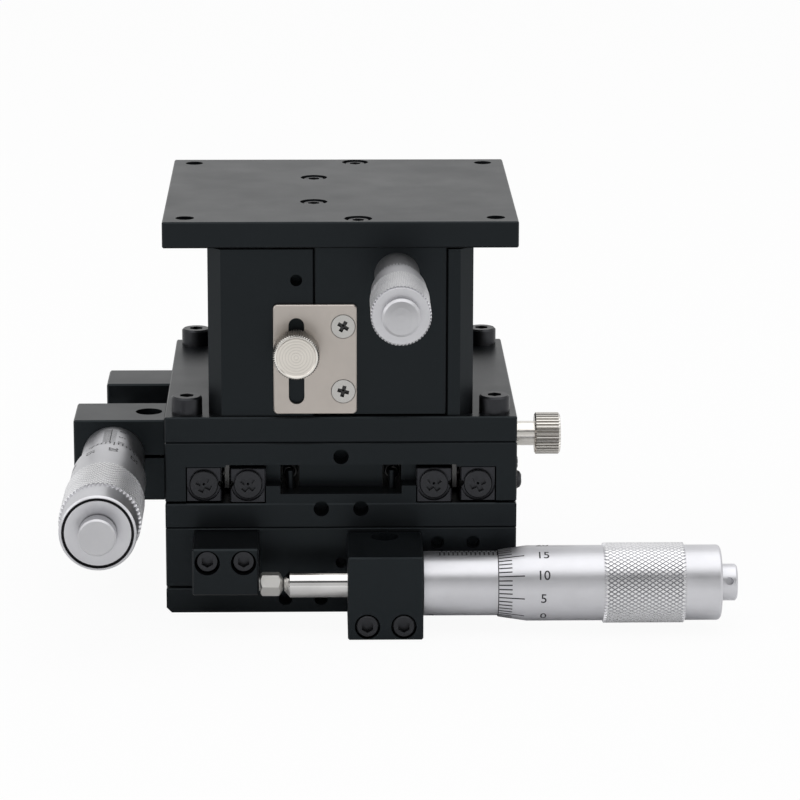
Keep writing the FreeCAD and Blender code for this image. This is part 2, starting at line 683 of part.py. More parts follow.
    def inner_rail_screws(self):
        return both_sides(rail_screws(RIB_OUTER, INNER_FACE))

    def outer_rail_screws(self):
        return both_sides(rail_screws(FLANGE_FACE, OUTER_FACE))

    def inner_end_screws(self):
        return both_sides(end_screws(RIB_OUTER, INNER_FACE))

    def outer_end_screws(self):
        return both_sides(end_screws(FLANGE_FACE, OUTER_FACE))

    def cages(self):
        return both_sides([cage()] + rollers())

    def bracket(self):
        left = BRACKET_CENTRE - BRACKET_WIDTH / 2
        right = BRACKET_CENTRE + BRACKET_WIDTH / 2
        low = self.bracket_lift
        top = low + BRACKET_HEIGHT
        body = block(left, right, -HALF - BRACKET_REACH, -HALF - BRACKET_RELIEF, low, top,
                     BRACKET_CHAMFER)
        foot = box(left + BRACKET_FOOT_INSET, right - BRACKET_FOOT_INSET,
                   -HALF - BRACKET_RELIEF - 1, -HALF,
                   low + BRACKET_FOOT_INSET, TABLE_BOTTOM - BRACKET_FOOT_DROP)
        body = join([body, foot])
        tools = [cylinder(STEM_DIAMETER + 2 * FIT, self.on_axis(left - 1),
                          self.on_axis(right + 1))]
        tools.append(box(left - 1, right + 1, self.axis_u, -HALF,
                         self.axis_level - CLAMP_SLIT / 2, self.axis_level + CLAMP_SLIT / 2))
        level = low + BRACKET_SCREW_LEVEL
        for x in self.bracket_screw_places():
            face = Vector(x, -HALF - BRACKET_REACH - 1, level)
            seat = Vector(x, -HALF - BRACKET_REACH + M3_HEAD_HEIGHT, level)
            tools.append(cylinder(M3_BORE, face, seat))
            tools.append(cylinder(M3 + SCREW_CLEARANCE, seat, Vector(x, -HALF + 1, level)))
        clamp = Vector(BRACKET_CENTRE, -HALF - CLAMP_SCREW_OUT, top)
        seat = clamp - Vector(0, 0, CLAMP_BORE_DEPTH)
        slit = Vector(clamp.x, clamp.y, self.axis_level)
        tip = seat - Vector(0, 0, CLAMP_SCREW_LENGTH + HOLE_SPARE)
        tools.append(cylinder(CLAMP_BORE, clamp + Z_AXIS, seat))
        tools.append(cylinder(M3 + SCREW_CLEARANCE, seat, slit))
        tools.append(cylinder(M3 + 2 * FIT, slit, tip))
        return cut(body, tools)

    def bracket_screws(self):
        level = self.bracket_lift + BRACKET_SCREW_LEVEL
        screws = []
        for x in self.bracket_screw_places():
            seat = Vector(x, -HALF - BRACKET_REACH + M3_HEAD_HEIGHT, level)
            screws.append(m3_screw(BRACKET_SCREW_LENGTH, seat, Y_AXIS))
        top = self.bracket_lift + BRACKET_HEIGHT
        seat = Vector(BRACKET_CENTRE, -HALF - CLAMP_SCREW_OUT, top - CLAMP_BORE_DEPTH)
        screws.append(m3_screw(CLAMP_SCREW_LENGTH, seat, Vector(0, 0, -1)))
        return screws

    def sleeve(self):
        stem = BRACKET_WIDTH
        barrel = stem + SLEEVE_LENGTH
        bore = SPINDLE_DIAMETER / 2 + RUNNING_FIT
        profile = [(0, bore), (0, STEM_DIAMETER / 2 - 0.3), (0.3, STEM_DIAMETER / 2),
                   (stem, STEM_DIAMETER / 2), (stem, SLEEVE_DIAMETER / 2 - 0.2),
                   (stem + 0.2, SLEEVE_DIAMETER / 2), (barrel, SLEEVE_DIAMETER / 2),
                   (barrel, bore)]
        return aim(turned(profile), self.on_axis(self.bracket_face - stem), X_AXIS)

    def spindle(self):
        body = SPINDLE_DIAMETER / 2
        wall = SPINDLE_STAND_OUT + THIMBLE_LENGTH - THIMBLE_END_WALL
        tail = wall + THIMBLE_END_WALL - 0.3
        profile = [(0, 0), (0, SPINDLE_TIP_DIAMETER / 2), (SPINDLE_TIP_LENGTH, body),
                   (wall - RUNNING_FIT, body), (wall - RUNNING_FIT, TAIL_DIAMETER / 2),
                   (tail, TAIL_DIAMETER / 2), (tail, 0)]
        return aim(turned(profile), self.on_axis(self.spindle_tip), X_AXIS)

    def thimble(self):
        bore = THIMBLE_BORE / 2
        edge = THIMBLE_EDGE_DIAMETER / 2
        body = THIMBLE_DIAMETER / 2
        knurl = KNURL_DIAMETER / 2
        length = THIMBLE_LENGTH
        wall = length - THIMBLE_END_WALL
        groove = END_GROOVE_DIAMETER / 2
        profile = [(0, bore), (0, edge), (BEVEL_LENGTH, body), (KNURL_START, body),
                   (KNURL_START + 0.4, knurl), (KNURL_END - 0.4, knurl),
                   (KNURL_END, body), (length - 0.7, body), (length, body - 0.7),
                   (length, groove + END_GROOVE_WIDTH / 2),
                   (length - END_GROOVE_DEPTH, groove + END_GROOVE_WIDTH / 2),
                   (length - END_GROOVE_DEPTH, groove - END_GROOVE_WIDTH / 2),
                   (length - 0.1, groove - END_GROOVE_WIDTH / 2),
                   (length, CAP_DIAMETER / 2),
                   (length, TAIL_DIAMETER / 2 + RUNNING_FIT),
                   (wall, TAIL_DIAMETER / 2 + RUNNING_FIT), (wall, bore)]
        return aim(turned(profile), self.on_axis(self.thimble_edge), X_AXIS)

    def thimble_cap(self):
        radius = CAP_DIAMETER / 2
        profile = [(0, 0), (0, radius), (CAP_LENGTH - 0.4, radius),
                   (CAP_LENGTH, radius - 0.4), (CAP_LENGTH, 0)]
        cap = turned(profile)
        wrench = cylinder(CAP_HOLE_DIAMETER, Vector(-radius - 1, 0, CAP_LENGTH / 2),
                          Vector(-radius + 2, 0, CAP_LENGTH / 2))
        wrench.rotate(Vector(0, 0, 0), Z_AXIS, 90 - CAP_HOLE_RISE)
        end = self.thimble_edge + THIMBLE_LENGTH
        return aim(cap.cut(wrench), self.on_axis(end), X_AXIS)

    def stop_block(self):
        left = self.stop_centre - STOP_WIDTH / 2
        right = self.stop_centre + STOP_WIDTH / 2
        low = self.stop_top - STOP_HEIGHT
        body = block(left, right, -HALF - STOP_REACH, -HALF, low, self.stop_top, STOP_CHAMFER)
        tools = []
        level = self.stop_top - STOP_SCREW_DROP
        for x in self.stop_screw_places():
            face = Vector(x, -HALF - STOP_REACH, level)
            seat = face + Vector(0, STOP_BORE_DEPTH, 0)
            tools.append(cylinder(M3_BORE, face - Y_AXIS, seat))
            tools.append(cylinder(M3 + SCREW_CLEARANCE, seat, Vector(x, -HALF + 1, level)))
        shank_end = self.on_axis(right - ANVIL_SHANK_LENGTH - HOLE_SPARE)
        tools.append(cylinder(M3 + 2 * FIT, self.on_axis(right + 1), shank_end))
        return cut(body, tools)

    def stop_screws(self):
        screws = []
        level = self.stop_top - STOP_SCREW_DROP
        for x in self.stop_screw_places():
            seat = Vector(x, -HALF - STOP_REACH + STOP_BORE_DEPTH, level)
            screws.append(m3_screw(STOP_SCREW_LENGTH, seat, Y_AXIS))
        return screws

    def anvil(self):
        start = self.stop_centre + STOP_WIDTH / 2
        length = self.spindle_tip - 0.1 - start
        head = hexagon(ANVIL_FLATS, length)
        reach = ANVIL_FLATS / math.sqrt(3)
        flats = ANVIL_FLATS / 2 - 0.1
        foot = ANVIL_NECK_LENGTH
        shoulder = length - ANVIL_TIP_LENGTH
        rounding = [(foot, 0), (foot, flats), (foot + 0.5, reach + 0.1),
                    (shoulder - 0.5, reach + 0.1), (shoulder, flats),
                    (length - 0.15, 1.2), (length, 0.6), (length, 0)]
        head = head.common(turned(rounding))
        shank = cylinder(M3, Vector(0, 0, -ANVIL_SHANK_LENGTH), Vector(0, 0, foot + 1))
        return aim(join([head, shank]), self.on_axis(start), X_AXIS)

    def lock_plate(self):
        half = LOCK_PLATE_LENGTH / 2
        outer = HALF + LOCK_PLATE_THICKNESS
        body = box(-half, half, HALF, outer, LOCK_PLATE_BOTTOM, LOCK_PLATE_TOP)
        corners = [edge for edge in body.Edges
                   if abs(edge.tangentAt(edge.FirstParameter).y) > 0.9]
        body = body.makeFillet(LOCK_PLATE_CORNER, corners)
        tools = [box(-half - 1, half + 1, HALF - 1, HALF + LOCK_PLATE_RELIEF,
                     SLAB_THICKNESS, LOCK_PLATE_TOP + 1)]
        width = THUMB_THREAD + 0.2
        reach = HORIZONTAL_TRAVEL / 2 + 0.2
        ends = [Vector(side * reach, HALF - 1, LOCK_SLOT_LEVEL) for side in (-1, 1)]
        for end in ends:
            tools.append(cylinder(width, end, end + Vector(0, 4, 0)))
        tools.append(box(-reach, reach, HALF - 1, HALF + 3, LOCK_SLOT_LEVEL - width / 2,
                         LOCK_SLOT_LEVEL + width / 2))
        for x in (-LOCK_SCREW_SPACING / 2, LOCK_SCREW_SPACING / 2):
            tools.append(cylinder(PAN_SCREW_DIAMETER + SCREW_CLEARANCE,
                                  Vector(x, HALF - 1, LOCK_SCREW_LEVEL),
                                  Vector(x, HALF + 3, LOCK_SCREW_LEVEL)))
        return cut(body, tools)

    def lock_plate_screws(self):
        seat = HALF + LOCK_PLATE_THICKNESS
        return [pan_screw(Vector(x, seat, LOCK_SCREW_LEVEL), Vector(0, -1, 0))
                for x in (-LOCK_SCREW_SPACING / 2, LOCK_SCREW_SPACING / 2)]

    def lock_screw(self):
        seat = Vector(0, HALF + LOCK_PLATE_THICKNESS + 0.1, LOCK_SLOT_LEVEL)
        return thumb_screw(THUMB_THREAD, THUMB_THREAD_LENGTH, THUMB_NECK_DIAMETER,
                           THUMB_NECK_LENGTH, THUMB_KNOB_DIAMETER, THUMB_KNOB_LENGTH,
                           seat, Y_AXIS)

    def springs(self):
        start = Vector(FIXED_POST, SPRING_OUT, SPRING_LEVEL)
        end = Vector(MOVING_POST, SPRING_OUT, SPRING_LEVEL)
        return both_sides([pull_spring(start, end)])


# ---- setting the stages down ----
def as_x_stage(shapes):
    return list(shapes)


def as_y_stage(shapes):
    placed = []
    for shape in shapes:
        moved = shape.copy()
        moved.rotate(Vector(0, 0, 0), Z_AXIS, -90)
        moved.translate(Vector(0, 0, Y_STAGE_LEVEL))
        placed.append(moved)
    return placed


# ---- plates and their fixings ----
def tapped_through(points, bore, bottom, top):
    return [cylinder(bore, Vector(x, y, bottom - 1), Vector(x, y, top + 1))
            for x, y in points]


def corner_points():
    return mirrored_pairs(CORNER_HOLE_PITCH / 2)


def saddle_screw_points():
    return mirrored_pairs(SADDLE_SCREW_PLACE)


def saddle_screws():
    top = Y_STAGE_LEVEL + SLAB_THICKNESS - SADDLE_HEAD_DROP
    return [countersunk_screw(SADDLE_HEAD, SADDLE_HEAD_DEPTH, M4, SADDLE_SCREW_LENGTH,
                              Vector(x, y, top), Vector(0, 0, -1))
            for x, y in saddle_screw_points()]


def saddle_screw_seats():
    """Countersinks in the saddle, in the stage's own frame."""
    tools = []
    top = SLAB_THICKNESS - SADDLE_HEAD_DROP
    wide = SADDLE_HEAD / 2 + FIT
    narrow = M4 / 2 + FIT
    for x, y in saddle_screw_points():
        profile = [(-1, 0), (-1, wide), (0.2, wide), (SADDLE_HEAD_DEPTH, narrow),
                   (SLAB_THICKNESS + 1, narrow), (SLAB_THICKNESS + 1, 0)]
        tools.append(aim(turned(profile), Vector(x, y, top), Vector(0, 0, -1)))
    return tools


def saddle_thread_holes():
    depth = SADDLE_SCREW_LENGTH - SLAB_THICKNESS + SADDLE_HEAD_DROP + HOLE_SPARE
    return [cylinder(M4 + 2 * FIT, Vector(x, y, STAGE_HEIGHT + 1),
                     Vector(x, y, STAGE_HEIGHT - depth)) for x, y in saddle_screw_points()]


def table_thread_holes():
    depth = PLATE_SCREW_LENGTH - Z_BASE_THICKNESS + HOLE_SPARE
    return [cylinder(M4 + 2 * FIT, Vector(x, y, STAGE_HEIGHT + 1),
                     Vector(x, y, STAGE_HEIGHT - depth)) for x, y in corner_points()]


def z_base_plate():
    body = block(-HALF, HALF, -HALF, HALF, Z_PLATE_LEVEL, COLUMN_FOOT)
    tools = [cylinder(M4 + SCREW_CLEARANCE, Vector(x, y, Z_PLATE_LEVEL - 1),
                      Vector(x, y, COLUMN_FOOT + 1)) for x, y in corner_points()]
    for x, y in COLUMN_SCREWS:
        seat = Z_PLATE_LEVEL + COLUMN_SCREW_SINK
        tools.append(cylinder(M4_HEAD + SCREW_CLEARANCE, Vector(x, y, Z_PLATE_LEVEL - 1),
                              Vector(x, y, seat)))
        tools.append(cylinder(M4 + SCREW_CLEARANCE, Vector(x, y, seat),
                              Vector(x, y, COLUMN_FOOT + 1)))
    post_top = Vector(Z_SPRING_X, Z_SPRING_Y, COLUMN_FOOT + 1)
    post_tip = Vector(Z_SPRING_X, Z_SPRING_Y, COLUMN_FOOT - Z_SPRING_SCREW_GRIP - HOLE_SPARE)
    tools.append(cylinder(M3 + 2 * FIT, post_top, post_tip))
    return cut(body, tools)


def z_base_screws():
    down = Vector(0, 0, -1)
    screws = [m4_screw(PLATE_SCREW_LENGTH, Vector(x, y, COLUMN_FOOT), down)
              for x, y in corner_points()]
    seat = Z_PLATE_LEVEL + COLUMN_SCREW_SINK
    screws += [m4_screw(PLATE_SCREW_LENGTH, Vector(x, y, seat), Z_AXIS)
               for x, y in COLUMN_SCREWS]
    return screws


def column_thread_holes():
    seat = Z_PLATE_LEVEL + COLUMN_SCREW_SINK
    return [cylinder(M4 + 2 * FIT, Vector(x, y, COLUMN_FOOT - 1),
                     Vector(x, y, seat + PLATE_SCREW_LENGTH + HOLE_SPARE)) for x, y in COLUMN_SCREWS]


# ---- Z unit ----
def column_prism(x0, x1, front, back, z0, z1):
    """Upright block of the column, with the column's corner chamfers where it has them."""
    c = COLUMN_CORNER
    left = c if x0 <= -COLUMN_HALF + 0.01 else EDGE_CHAMFER
    right = c if x1 >= COLUMN_HALF - 0.01 else EDGE_CHAMFER
    points = [Vector(x0 + left, front, z0), Vector(x1 - right, front, z0),
              Vector(x1, front + right, z0), Vector(x1, back - right, z0),
              Vector(x1 - right, back, z0), Vector(x0 + left, back, z0),
              Vector(x0, back - left, z0), Vector(x0, front + left, z0)]
    wire = Part.makePolygon(points + [points[0]])
    return Part.Face(wire).extrude(Vector(0, 0, z1 - z0))


def wedge_contact_height():
    """Height at which the sloping face of the wedge meets the pin at rest."""
    return WEDGE_TOP - WEDGE_HEIGHT + (WEDGE_CONTACT - WEDGE_REAR)


def wedge_pin_centre():
    away = WEDGE_PIN_DIAMETER / 2 + RUNNING_FIT
    drop = away / math.sqrt(2)
    return Vector(0, WEDGE_CONTACT + drop, wedge_contact_height() - drop)


def z_rail_pocket(x0, x1, bottom):
    """Recess for a rail; in the carriage it runs out below, so that the cage can pass."""
    return box(x0, x1, -Z_RAIL_WIDTH / 2 - FIT, Z_RAIL_WIDTH / 2 + FIT,
               bottom - FIT, Z_RAIL_BOTTOM + Z_RAIL_LENGTH + FIT)


def z_rail(x0, x1, seam):
    body = box(x0, x1, -Z_RAIL_WIDTH / 2, Z_RAIL_WIDTH / 2,
               Z_RAIL_BOTTOM, Z_RAIL_BOTTOM + Z_RAIL_LENGTH)
    half = groove_half(Z_ROLLER_DIAMETER)
    corners = [Vector(seam - half, 0, Z_RAIL_BOTTOM - 1), Vector(seam, half, Z_RAIL_BOTTOM - 1),
               Vector(seam + half, 0, Z_RAIL_BOTTOM - 1), Vector(seam, -half, Z_RAIL_BOTTOM - 1)]
    wire = Part.makePolygon(corners + [corners[0]])
    groove = Part.Face(wire).extrude(Vector(0, 0, Z_RAIL_LENGTH + 2))
    return body.cut(groove)


def z_rail_faces(seam, side):
    """Near and far faces of the rail on one side (-1 left, +1 right) of a seam."""
    near = seam + side * Z_RAIL_GAP / 2
    far = near + side * Z_RAIL_DEPTH
    return min(near, far), max(near, far)


def back_lip(x0, x1):
    """Lip on a fixed block, over the back end of a seam."""
    back = -COLUMN_FRONT - EDGE_CHAMFER
    return box(x0, x1, back - LIP_DEPTH, back, COLUMN_FOOT, FIXED_TOP)


def lip_notch(x0, x1):
    """Room for such a lip in the carriage."""
    front = -COLUMN_FRONT - EDGE_CHAMFER - LIP_DEPTH - SEAM
    return box(x0, x1, front, -COLUMN_FRONT + 1, COLUMN_FOOT, TOP_UNDERSIDE + 1)


def z_fixed_block():
    front = COLUMN_FRONT + FRONT_RELIEF
    right = CARRIAGE_LEFT - SEAM
    body = column_prism(-COLUMN_HALF, right, front, -COLUMN_FRONT, COLUMN_FOOT, FIXED_TOP)
    body = join([body, back_lip(right - 1, right + LIP_WIDTH)])
    low, high = z_rail_faces(LEFT_SEAM, -1)
    tools = [z_rail_pocket(low, right + 1, Z_RAIL_BOTTOM)]
    tools.append(box(EAR_LEFT - END_GAP, right + 1, -EAR_HALF_DEPTH - END_GAP,
                     EAR_HALF_DEPTH + END_GAP, TOP_UNDERSIDE - EAR_HEIGHT - END_GAP,
                     FIXED_TOP + 1))
    thumb = Vector(Z_SLOT_X, front, COLUMN_FOOT + Z_THUMB_LEVEL)
    tools.append(cylinder(Z_THUMB_THREAD + 2 * RUNNING_FIT, thumb - Y_AXIS,
                          thumb + Vector(0, Z_THUMB_THREAD_LENGTH + 1, 0)))
    spare = Vector(Z_SLOT_X, front, TOP_UNDERSIDE - Z_SPARE_HOLE_DROP)
    tools.append(cylinder(Z_SPARE_HOLE, spare - Y_AXIS,
                          spare + Vector(0, Z_SPARE_HOLE_DEPTH, 0)))
    pin = wedge_pin_centre()
    pin_end = right - WEDGE_PIN_IN_BLOCK - HOLE_SPARE
    tools.append(cylinder(WEDGE_PIN_DIAMETER + 2 * FIT, Vector(pin_end, pin.y, pin.z),
                          Vector(right + 1, pin.y, pin.z)))
    return cut(body, tools + column_thread_holes())


def z_side_wall():
    front = COLUMN_FRONT + FRONT_RELIEF
    left = CARRIAGE_RIGHT + SEAM
    body = column_prism(left, COLUMN_HALF, front, -COLUMN_FRONT, COLUMN_FOOT, FIXED_TOP)
    body = join([body, back_lip(left - LIP_WIDTH, left + 1)])
    low, high = z_rail_faces(RIGHT_SEAM, 1)
    pin = wedge_pin_centre()
    tools = [z_rail_pocket(left - 1, high, Z_RAIL_BOTTOM)]
    tools.append(cylinder(WEDGE_PIN_DIAMETER + 2 * FIT, Vector(left - 1, pin.y, pin.z),
                          Vector(left + WEDGE_PIN_IN_WALL + HOLE_SPARE, pin.y, pin.z)))
    return cut(body, tools + column_thread_holes())


def z_carriage():
    low = COLUMN_FOOT + END_GAP
    body = column_prism(CARRIAGE_LEFT, CARRIAGE_RIGHT, COLUMN_FRONT, -COLUMN_FRONT,
                        low, TOP_UNDERSIDE)
    ear = box(EAR_LEFT, CARRIAGE_LEFT + 1, -EAR_HALF_DEPTH, EAR_HALF_DEPTH,
              TOP_UNDERSIDE - EAR_HEIGHT, TOP_UNDERSIDE)
    body = join([body, ear])
    left_low, left_high = z_rail_faces(LEFT_SEAM, 1)
    right_low, right_high = z_rail_faces(RIGHT_SEAM, -1)
    tools = [z_rail_pocket(CARRIAGE_LEFT - 1, left_high, COLUMN_FOOT),
             z_rail_pocket(right_low, CARRIAGE_RIGHT + 1, COLUMN_FOOT),
             lip_notch(CARRIAGE_LEFT - 1, CARRIAGE_LEFT + LIP_WIDTH),
             lip_notch(CARRIAGE_RIGHT - LIP_WIDTH, CARRIAGE_RIGHT + 1)]
    front = Vector(Z_AXIS_X, COLUMN_FRONT, Z_AXIS_LEVEL)
    tools.append(cylinder(Z_STEM_DIAMETER + 2 * FIT, front - Y_AXIS,
                          front + Vector(0, Z_STEM_LENGTH + HOLE_SPARE, 0)))
    tools.append(cylinder(Z_SPINDLE_DIAMETER + 1.0, front, Vector(Z_AXIS_X, WEDGE_REAR,
                                                                   Z_AXIS_LEVEL)))
    side = WEDGE_WIDTH / 2 + 2 * RUNNING_FIT
    tools.append(box(Z_AXIS_X - side, Z_AXIS_X + side, WEDGE_REAR - 1,
                     WEDGE_REAR + WEDGE_HEIGHT + VERTICAL_TRAVEL + 1,
                     WEDGE_TOP - WEDGE_HEIGHT - 1, WEDGE_TOP + RUNNING_FIT))
    pin = wedge_pin_centre()
    wide = WEDGE_PIN_DIAMETER / 2 + 0.3
    tools.append(box(CARRIAGE_LEFT - 1, CARRIAGE_RIGHT + 1, pin.y - wide, pin.y + wide,
                     pin.z - VERTICAL_TRAVEL - wide, pin.z + wide))
    tools.append(box(EAR_LEFT - 1, CARRIAGE_LEFT, pin.y - wide, pin.y + wide,
                     pin.z - VERTICAL_TRAVEL - wide, pin.z + wide))
    spring_foot = Vector(Z_SPRING_X, Z_SPRING_Y, COLUMN_FOOT + Z_SPRING_FLOOR)
    spring_top = Vector(Z_SPRING_X, Z_SPRING_Y, TOP_UNDERSIDE + 1)
    tools.append(cylinder(Z_SPRING_BORE, spring_foot, spring_top))
    tools.append(cylinder(M3 + SCREW_CLEARANCE, spring_foot,
                          spring_foot - Vector(0, 0, Z_SPRING_FLOOR)))
    for x, y in top_screw_points():
        tip = top_screw_seat() - TOP_SCREW_LENGTH - HOLE_SPARE
        tools.append(cylinder(M3 + 2 * FIT, Vector(x, y, TOP_UNDERSIDE + 1), Vector(x, y, tip)))
    for level in Z_PLATE_SCREW_LEVELS:
        mouth = Vector(Z_PLATE_SCREW_X, COLUMN_FRONT - 1, COLUMN_FOOT + level)
        depth = Vector(0, Z_PLATE_SCREW_LENGTH + 1, 0)
        tools.append(cylinder(M3 + 2 * FIT, mouth, mouth + depth))
    return cut(body, tools)


def z_fixed_rails():
    low, high = z_rail_faces(LEFT_SEAM, -1)
    left = z_rail(low, high, LEFT_SEAM)
    low, high = z_rail_faces(RIGHT_SEAM, 1)
    return [left, z_rail(low, high, RIGHT_SEAM)]


def z_carriage_rails():
    low, high = z_rail_faces(LEFT_SEAM, 1)
    left = z_rail(low, high, LEFT_SEAM)
    low, high = z_rail_faces(RIGHT_SEAM, -1)
    return [left, z_rail(low, high, RIGHT_SEAM)]


def z_cages():
    middle = Z_RAIL_BOTTOM + Z_RAIL_LENGTH / 2 - VERTICAL_TRAVEL / 4
    shapes = []
    for seam in (LEFT_SEAM, RIGHT_SEAM):
        strip = box(seam - Z_CAGE_THICKNESS / 2, seam + Z_CAGE_THICKNESS / 2,
                    -Z_CAGE_WIDTH / 2, Z_CAGE_WIDTH / 2,
                    middle - Z_CAGE_LENGTH / 2, middle + Z_CAGE_LENGTH / 2)
        windows = []
        bodies = []
        for step in range(Z_ROLLERS):
            z = middle + (step - (Z_ROLLERS - 1) / 2) * Z_ROLLER_PITCH
            high = Z_ROLLER_DIAMETER / 2 + 0.15
            wide = Z_ROLLER_DIAMETER * 0.75
            windows.append(box(seam - 1, seam + 1, -wide, wide, z - high, z + high))
            lean = 1 if step % 2 else -1
            along = Vector(1, lean, 0).normalize() * (Z_ROLLER_LENGTH / 2)
            centre = Vector(seam, 0, z)
            bodies.append(cylinder(Z_ROLLER_DIAMETER, centre - along, centre + along))
        shapes.append(cut(strip, windows))
        shapes += bodies
    return shapes


def z_wedge():
    low = WEDGE_TOP - WEDGE_HEIGHT
    points = [Vector(Z_AXIS_X - WEDGE_WIDTH / 2, WEDGE_REAR, WEDGE_TOP),
              Vector(Z_AXIS_X - WEDGE_WIDTH / 2, WEDGE_REAR + WEDGE_HEIGHT, WEDGE_TOP),
              Vector(Z_AXIS_X - WEDGE_WIDTH / 2, WEDGE_REAR, low)]
    return Part.Face(Part.makePolygon(points + [points[0]])).extrude(Vector(WEDGE_WIDTH, 0, 0))


def z_wedge_pin():
    pin = wedge_pin_centre()
    left = CARRIAGE_LEFT - SEAM - WEDGE_PIN_IN_BLOCK
    right = CARRIAGE_RIGHT + SEAM + WEDGE_PIN_IN_WALL
    return cylinder(WEDGE_PIN_DIAMETER, Vector(left, pin.y, pin.z), Vector(right, pin.y, pin.z))


def z_sleeve():
    bore = Z_SPINDLE_DIAMETER / 2 + RUNNING_FIT
    barrel = Z_STEM_LENGTH + Z_THIMBLE_START + Z_SLEEVE_OVERLAP
    profile = [(0, bore), (0, Z_STEM_DIAMETER / 2), (Z_STEM_LENGTH, Z_STEM_DIAMETER / 2),
               (Z_STEM_LENGTH, Z_SLEEVE_DIAMETER / 2), (barrel, Z_SLEEVE_DIAMETER / 2),
               (barrel, bore)]
    start = Vector(Z_AXIS_X, COLUMN_FRONT + Z_STEM_LENGTH, Z_AXIS_LEVEL)
    return aim(turned(profile), start, Vector(0, -1, 0))


def z_spindle():
    front = COLUMN_FRONT - Z_THIMBLE_START - Z_THIMBLE_LENGTH
    length = WEDGE_REAR - front - Z_THIMBLE_END_WALL
    shoulder = length - RUNNING_FIT
    end = length + Z_TAIL_LENGTH
    profile = [(0, 0), (0, Z_SPINDLE_DIAMETER / 2), (shoulder, Z_SPINDLE_DIAMETER / 2),
               (shoulder, Z_TAIL_DIAMETER / 2), (end, Z_TAIL_DIAMETER / 2), (end, 0)]
    return aim(turned(profile), Vector(Z_AXIS_X, WEDGE_REAR, Z_AXIS_LEVEL), Vector(0, -1, 0))


def z_thimble():
    bore = Z_THIMBLE_BORE / 2
    length = Z_THIMBLE_LENGTH
    wall = length - Z_THIMBLE_END_WALL
    tail = Z_TAIL_DIAMETER / 2 + RUNNING_FIT
    body = Z_THIMBLE_DIAMETER / 2
    knurl = Z_KNURL_DIAMETER / 2
    profile = [(0, bore), (0, Z_THIMBLE_EDGE / 2), (Z_BEVEL_LENGTH, body),
               (Z_KNURL_START, body),
               (Z_KNURL_START + 0.3, knurl), (length - 0.2, knurl), (length, knurl - 0.2),
               (length, tail), (wall, tail), (wall, bore)]
    edge = Vector(Z_AXIS_X, COLUMN_FRONT - Z_THIMBLE_START, Z_AXIS_LEVEL)
    return aim(turned(profile), edge, Vector(0, -1, 0))


def z_thimble_cap():
    radius = Z_CAP_DIAMETER / 2
    straight = Z_CAP_LENGTH - Z_CAP_ROUNDING
    profile = [(0, 0), (0, radius), (straight, radius),
               (straight + 0.5 * Z_CAP_ROUNDING, radius * 0.87),
               (straight + 0.85 * Z_CAP_ROUNDING, radius * 0.55),
               (Z_CAP_LENGTH, radius * 0.2), (Z_CAP_LENGTH, 0)]
    front = COLUMN_FRONT - Z_THIMBLE_START - Z_THIMBLE_LENGTH
    return aim(turned(profile), Vector(Z_AXIS_X, front, Z_AXIS_LEVEL), Vector(0, -1, 0))


def z_spring_seat():
    """Underside of the long screw's head, which the spring pushes against."""
    return COLUMN_FOOT - Z_SPRING_SCREW_GRIP + Z_SPRING_SCREW_LENGTH


def z_spring_screw():
    seat = Vector(Z_SPRING_X, Z_SPRING_Y, z_spring_seat())
    return m3_screw(Z_SPRING_SCREW_LENGTH, seat, Vector(0, 0, -1))


def z_spring():
    low = COLUMN_FOOT + Z_SPRING_FLOOR + Z_SPRING_WIRE / 2
    high = z_spring_seat() - Z_SPRING_WIRE / 2
    pitch = (high - low) / Z_SPRING_TURNS
    wound = coil(Z_SPRING_DIAMETER, Z_SPRING_WIRE, pitch, high - low)
    wound.translate(Vector(Z_SPRING_X, Z_SPRING_Y, low))
    return wound


def z_lock_plate():
    face = COLUMN_FRONT
    low = COLUMN_FOOT + Z_PLATE_BOTTOM
    body = box(Z_PLATE_LEFT, Z_PLATE_RIGHT, face - Z_PLATE_THICKNESS, face,
               low, low + Z_PLATE_HEIGHT)
    corners = [edge for edge in body.Edges
               if abs(edge.tangentAt(edge.FirstParameter).y) > 0.9]
    body = body.makeFillet(Z_PLATE_CORNER, corners)
    outline = [edge for edge in body.Edges
               if edge.BoundBox.YMax < face - Z_PLATE_THICKNESS + 0.01]
    body = body.makeChamfer(Z_PLATE_BREAK, outline)
    radius = Z_SLOT_WIDTH / 2
    bottom = COLUMN_FOOT + Z_SLOT_BOTTOM + radius
    top = COLUMN_FOOT + Z_SLOT_TOP - radius
    tools = [box(Z_SLOT_X - radius, Z_SLOT_X + radius, face - 3, face + 1, bottom, top)]
    for z in (bottom, top):
        tools.append(cylinder(Z_SLOT_WIDTH, Vector(Z_SLOT_X, face - 3, z),
                              Vector(Z_SLOT_X, face + 1, z)))
    for level in Z_PLATE_SCREW_LEVELS:
        centre = Vector(Z_PLATE_SCREW_X, face - Z_PLATE_THICKNESS, COLUMN_FOOT + level)
        wide = Z_PLATE_HEAD / 2 + Z_PLATE_HEAD_GAP
        narrow = M3 / 2 + FIT
        profile = [(-1, 0), (-1, wide), (0.2, wide), (Z_PLATE_HEAD_DEPTH, narrow),
                   (Z_PLATE_SCREW_LENGTH, narrow), (Z_PLATE_SCREW_LENGTH, 0)]
        tools.append(aim(turned(profile), centre, Y_AXIS))
    return cut(body, tools)


def z_lock_plate_screws():
    face = COLUMN_FRONT - Z_PLATE_THICKNESS
    return [countersunk_screw(Z_PLATE_HEAD, Z_PLATE_HEAD_DEPTH, M3, Z_PLATE_SCREW_LENGTH,
                              Vector(Z_PLATE_SCREW_X, face, COLUMN_FOOT + level), Y_AXIS)
            for level in Z_PLATE_SCREW_LEVELS]


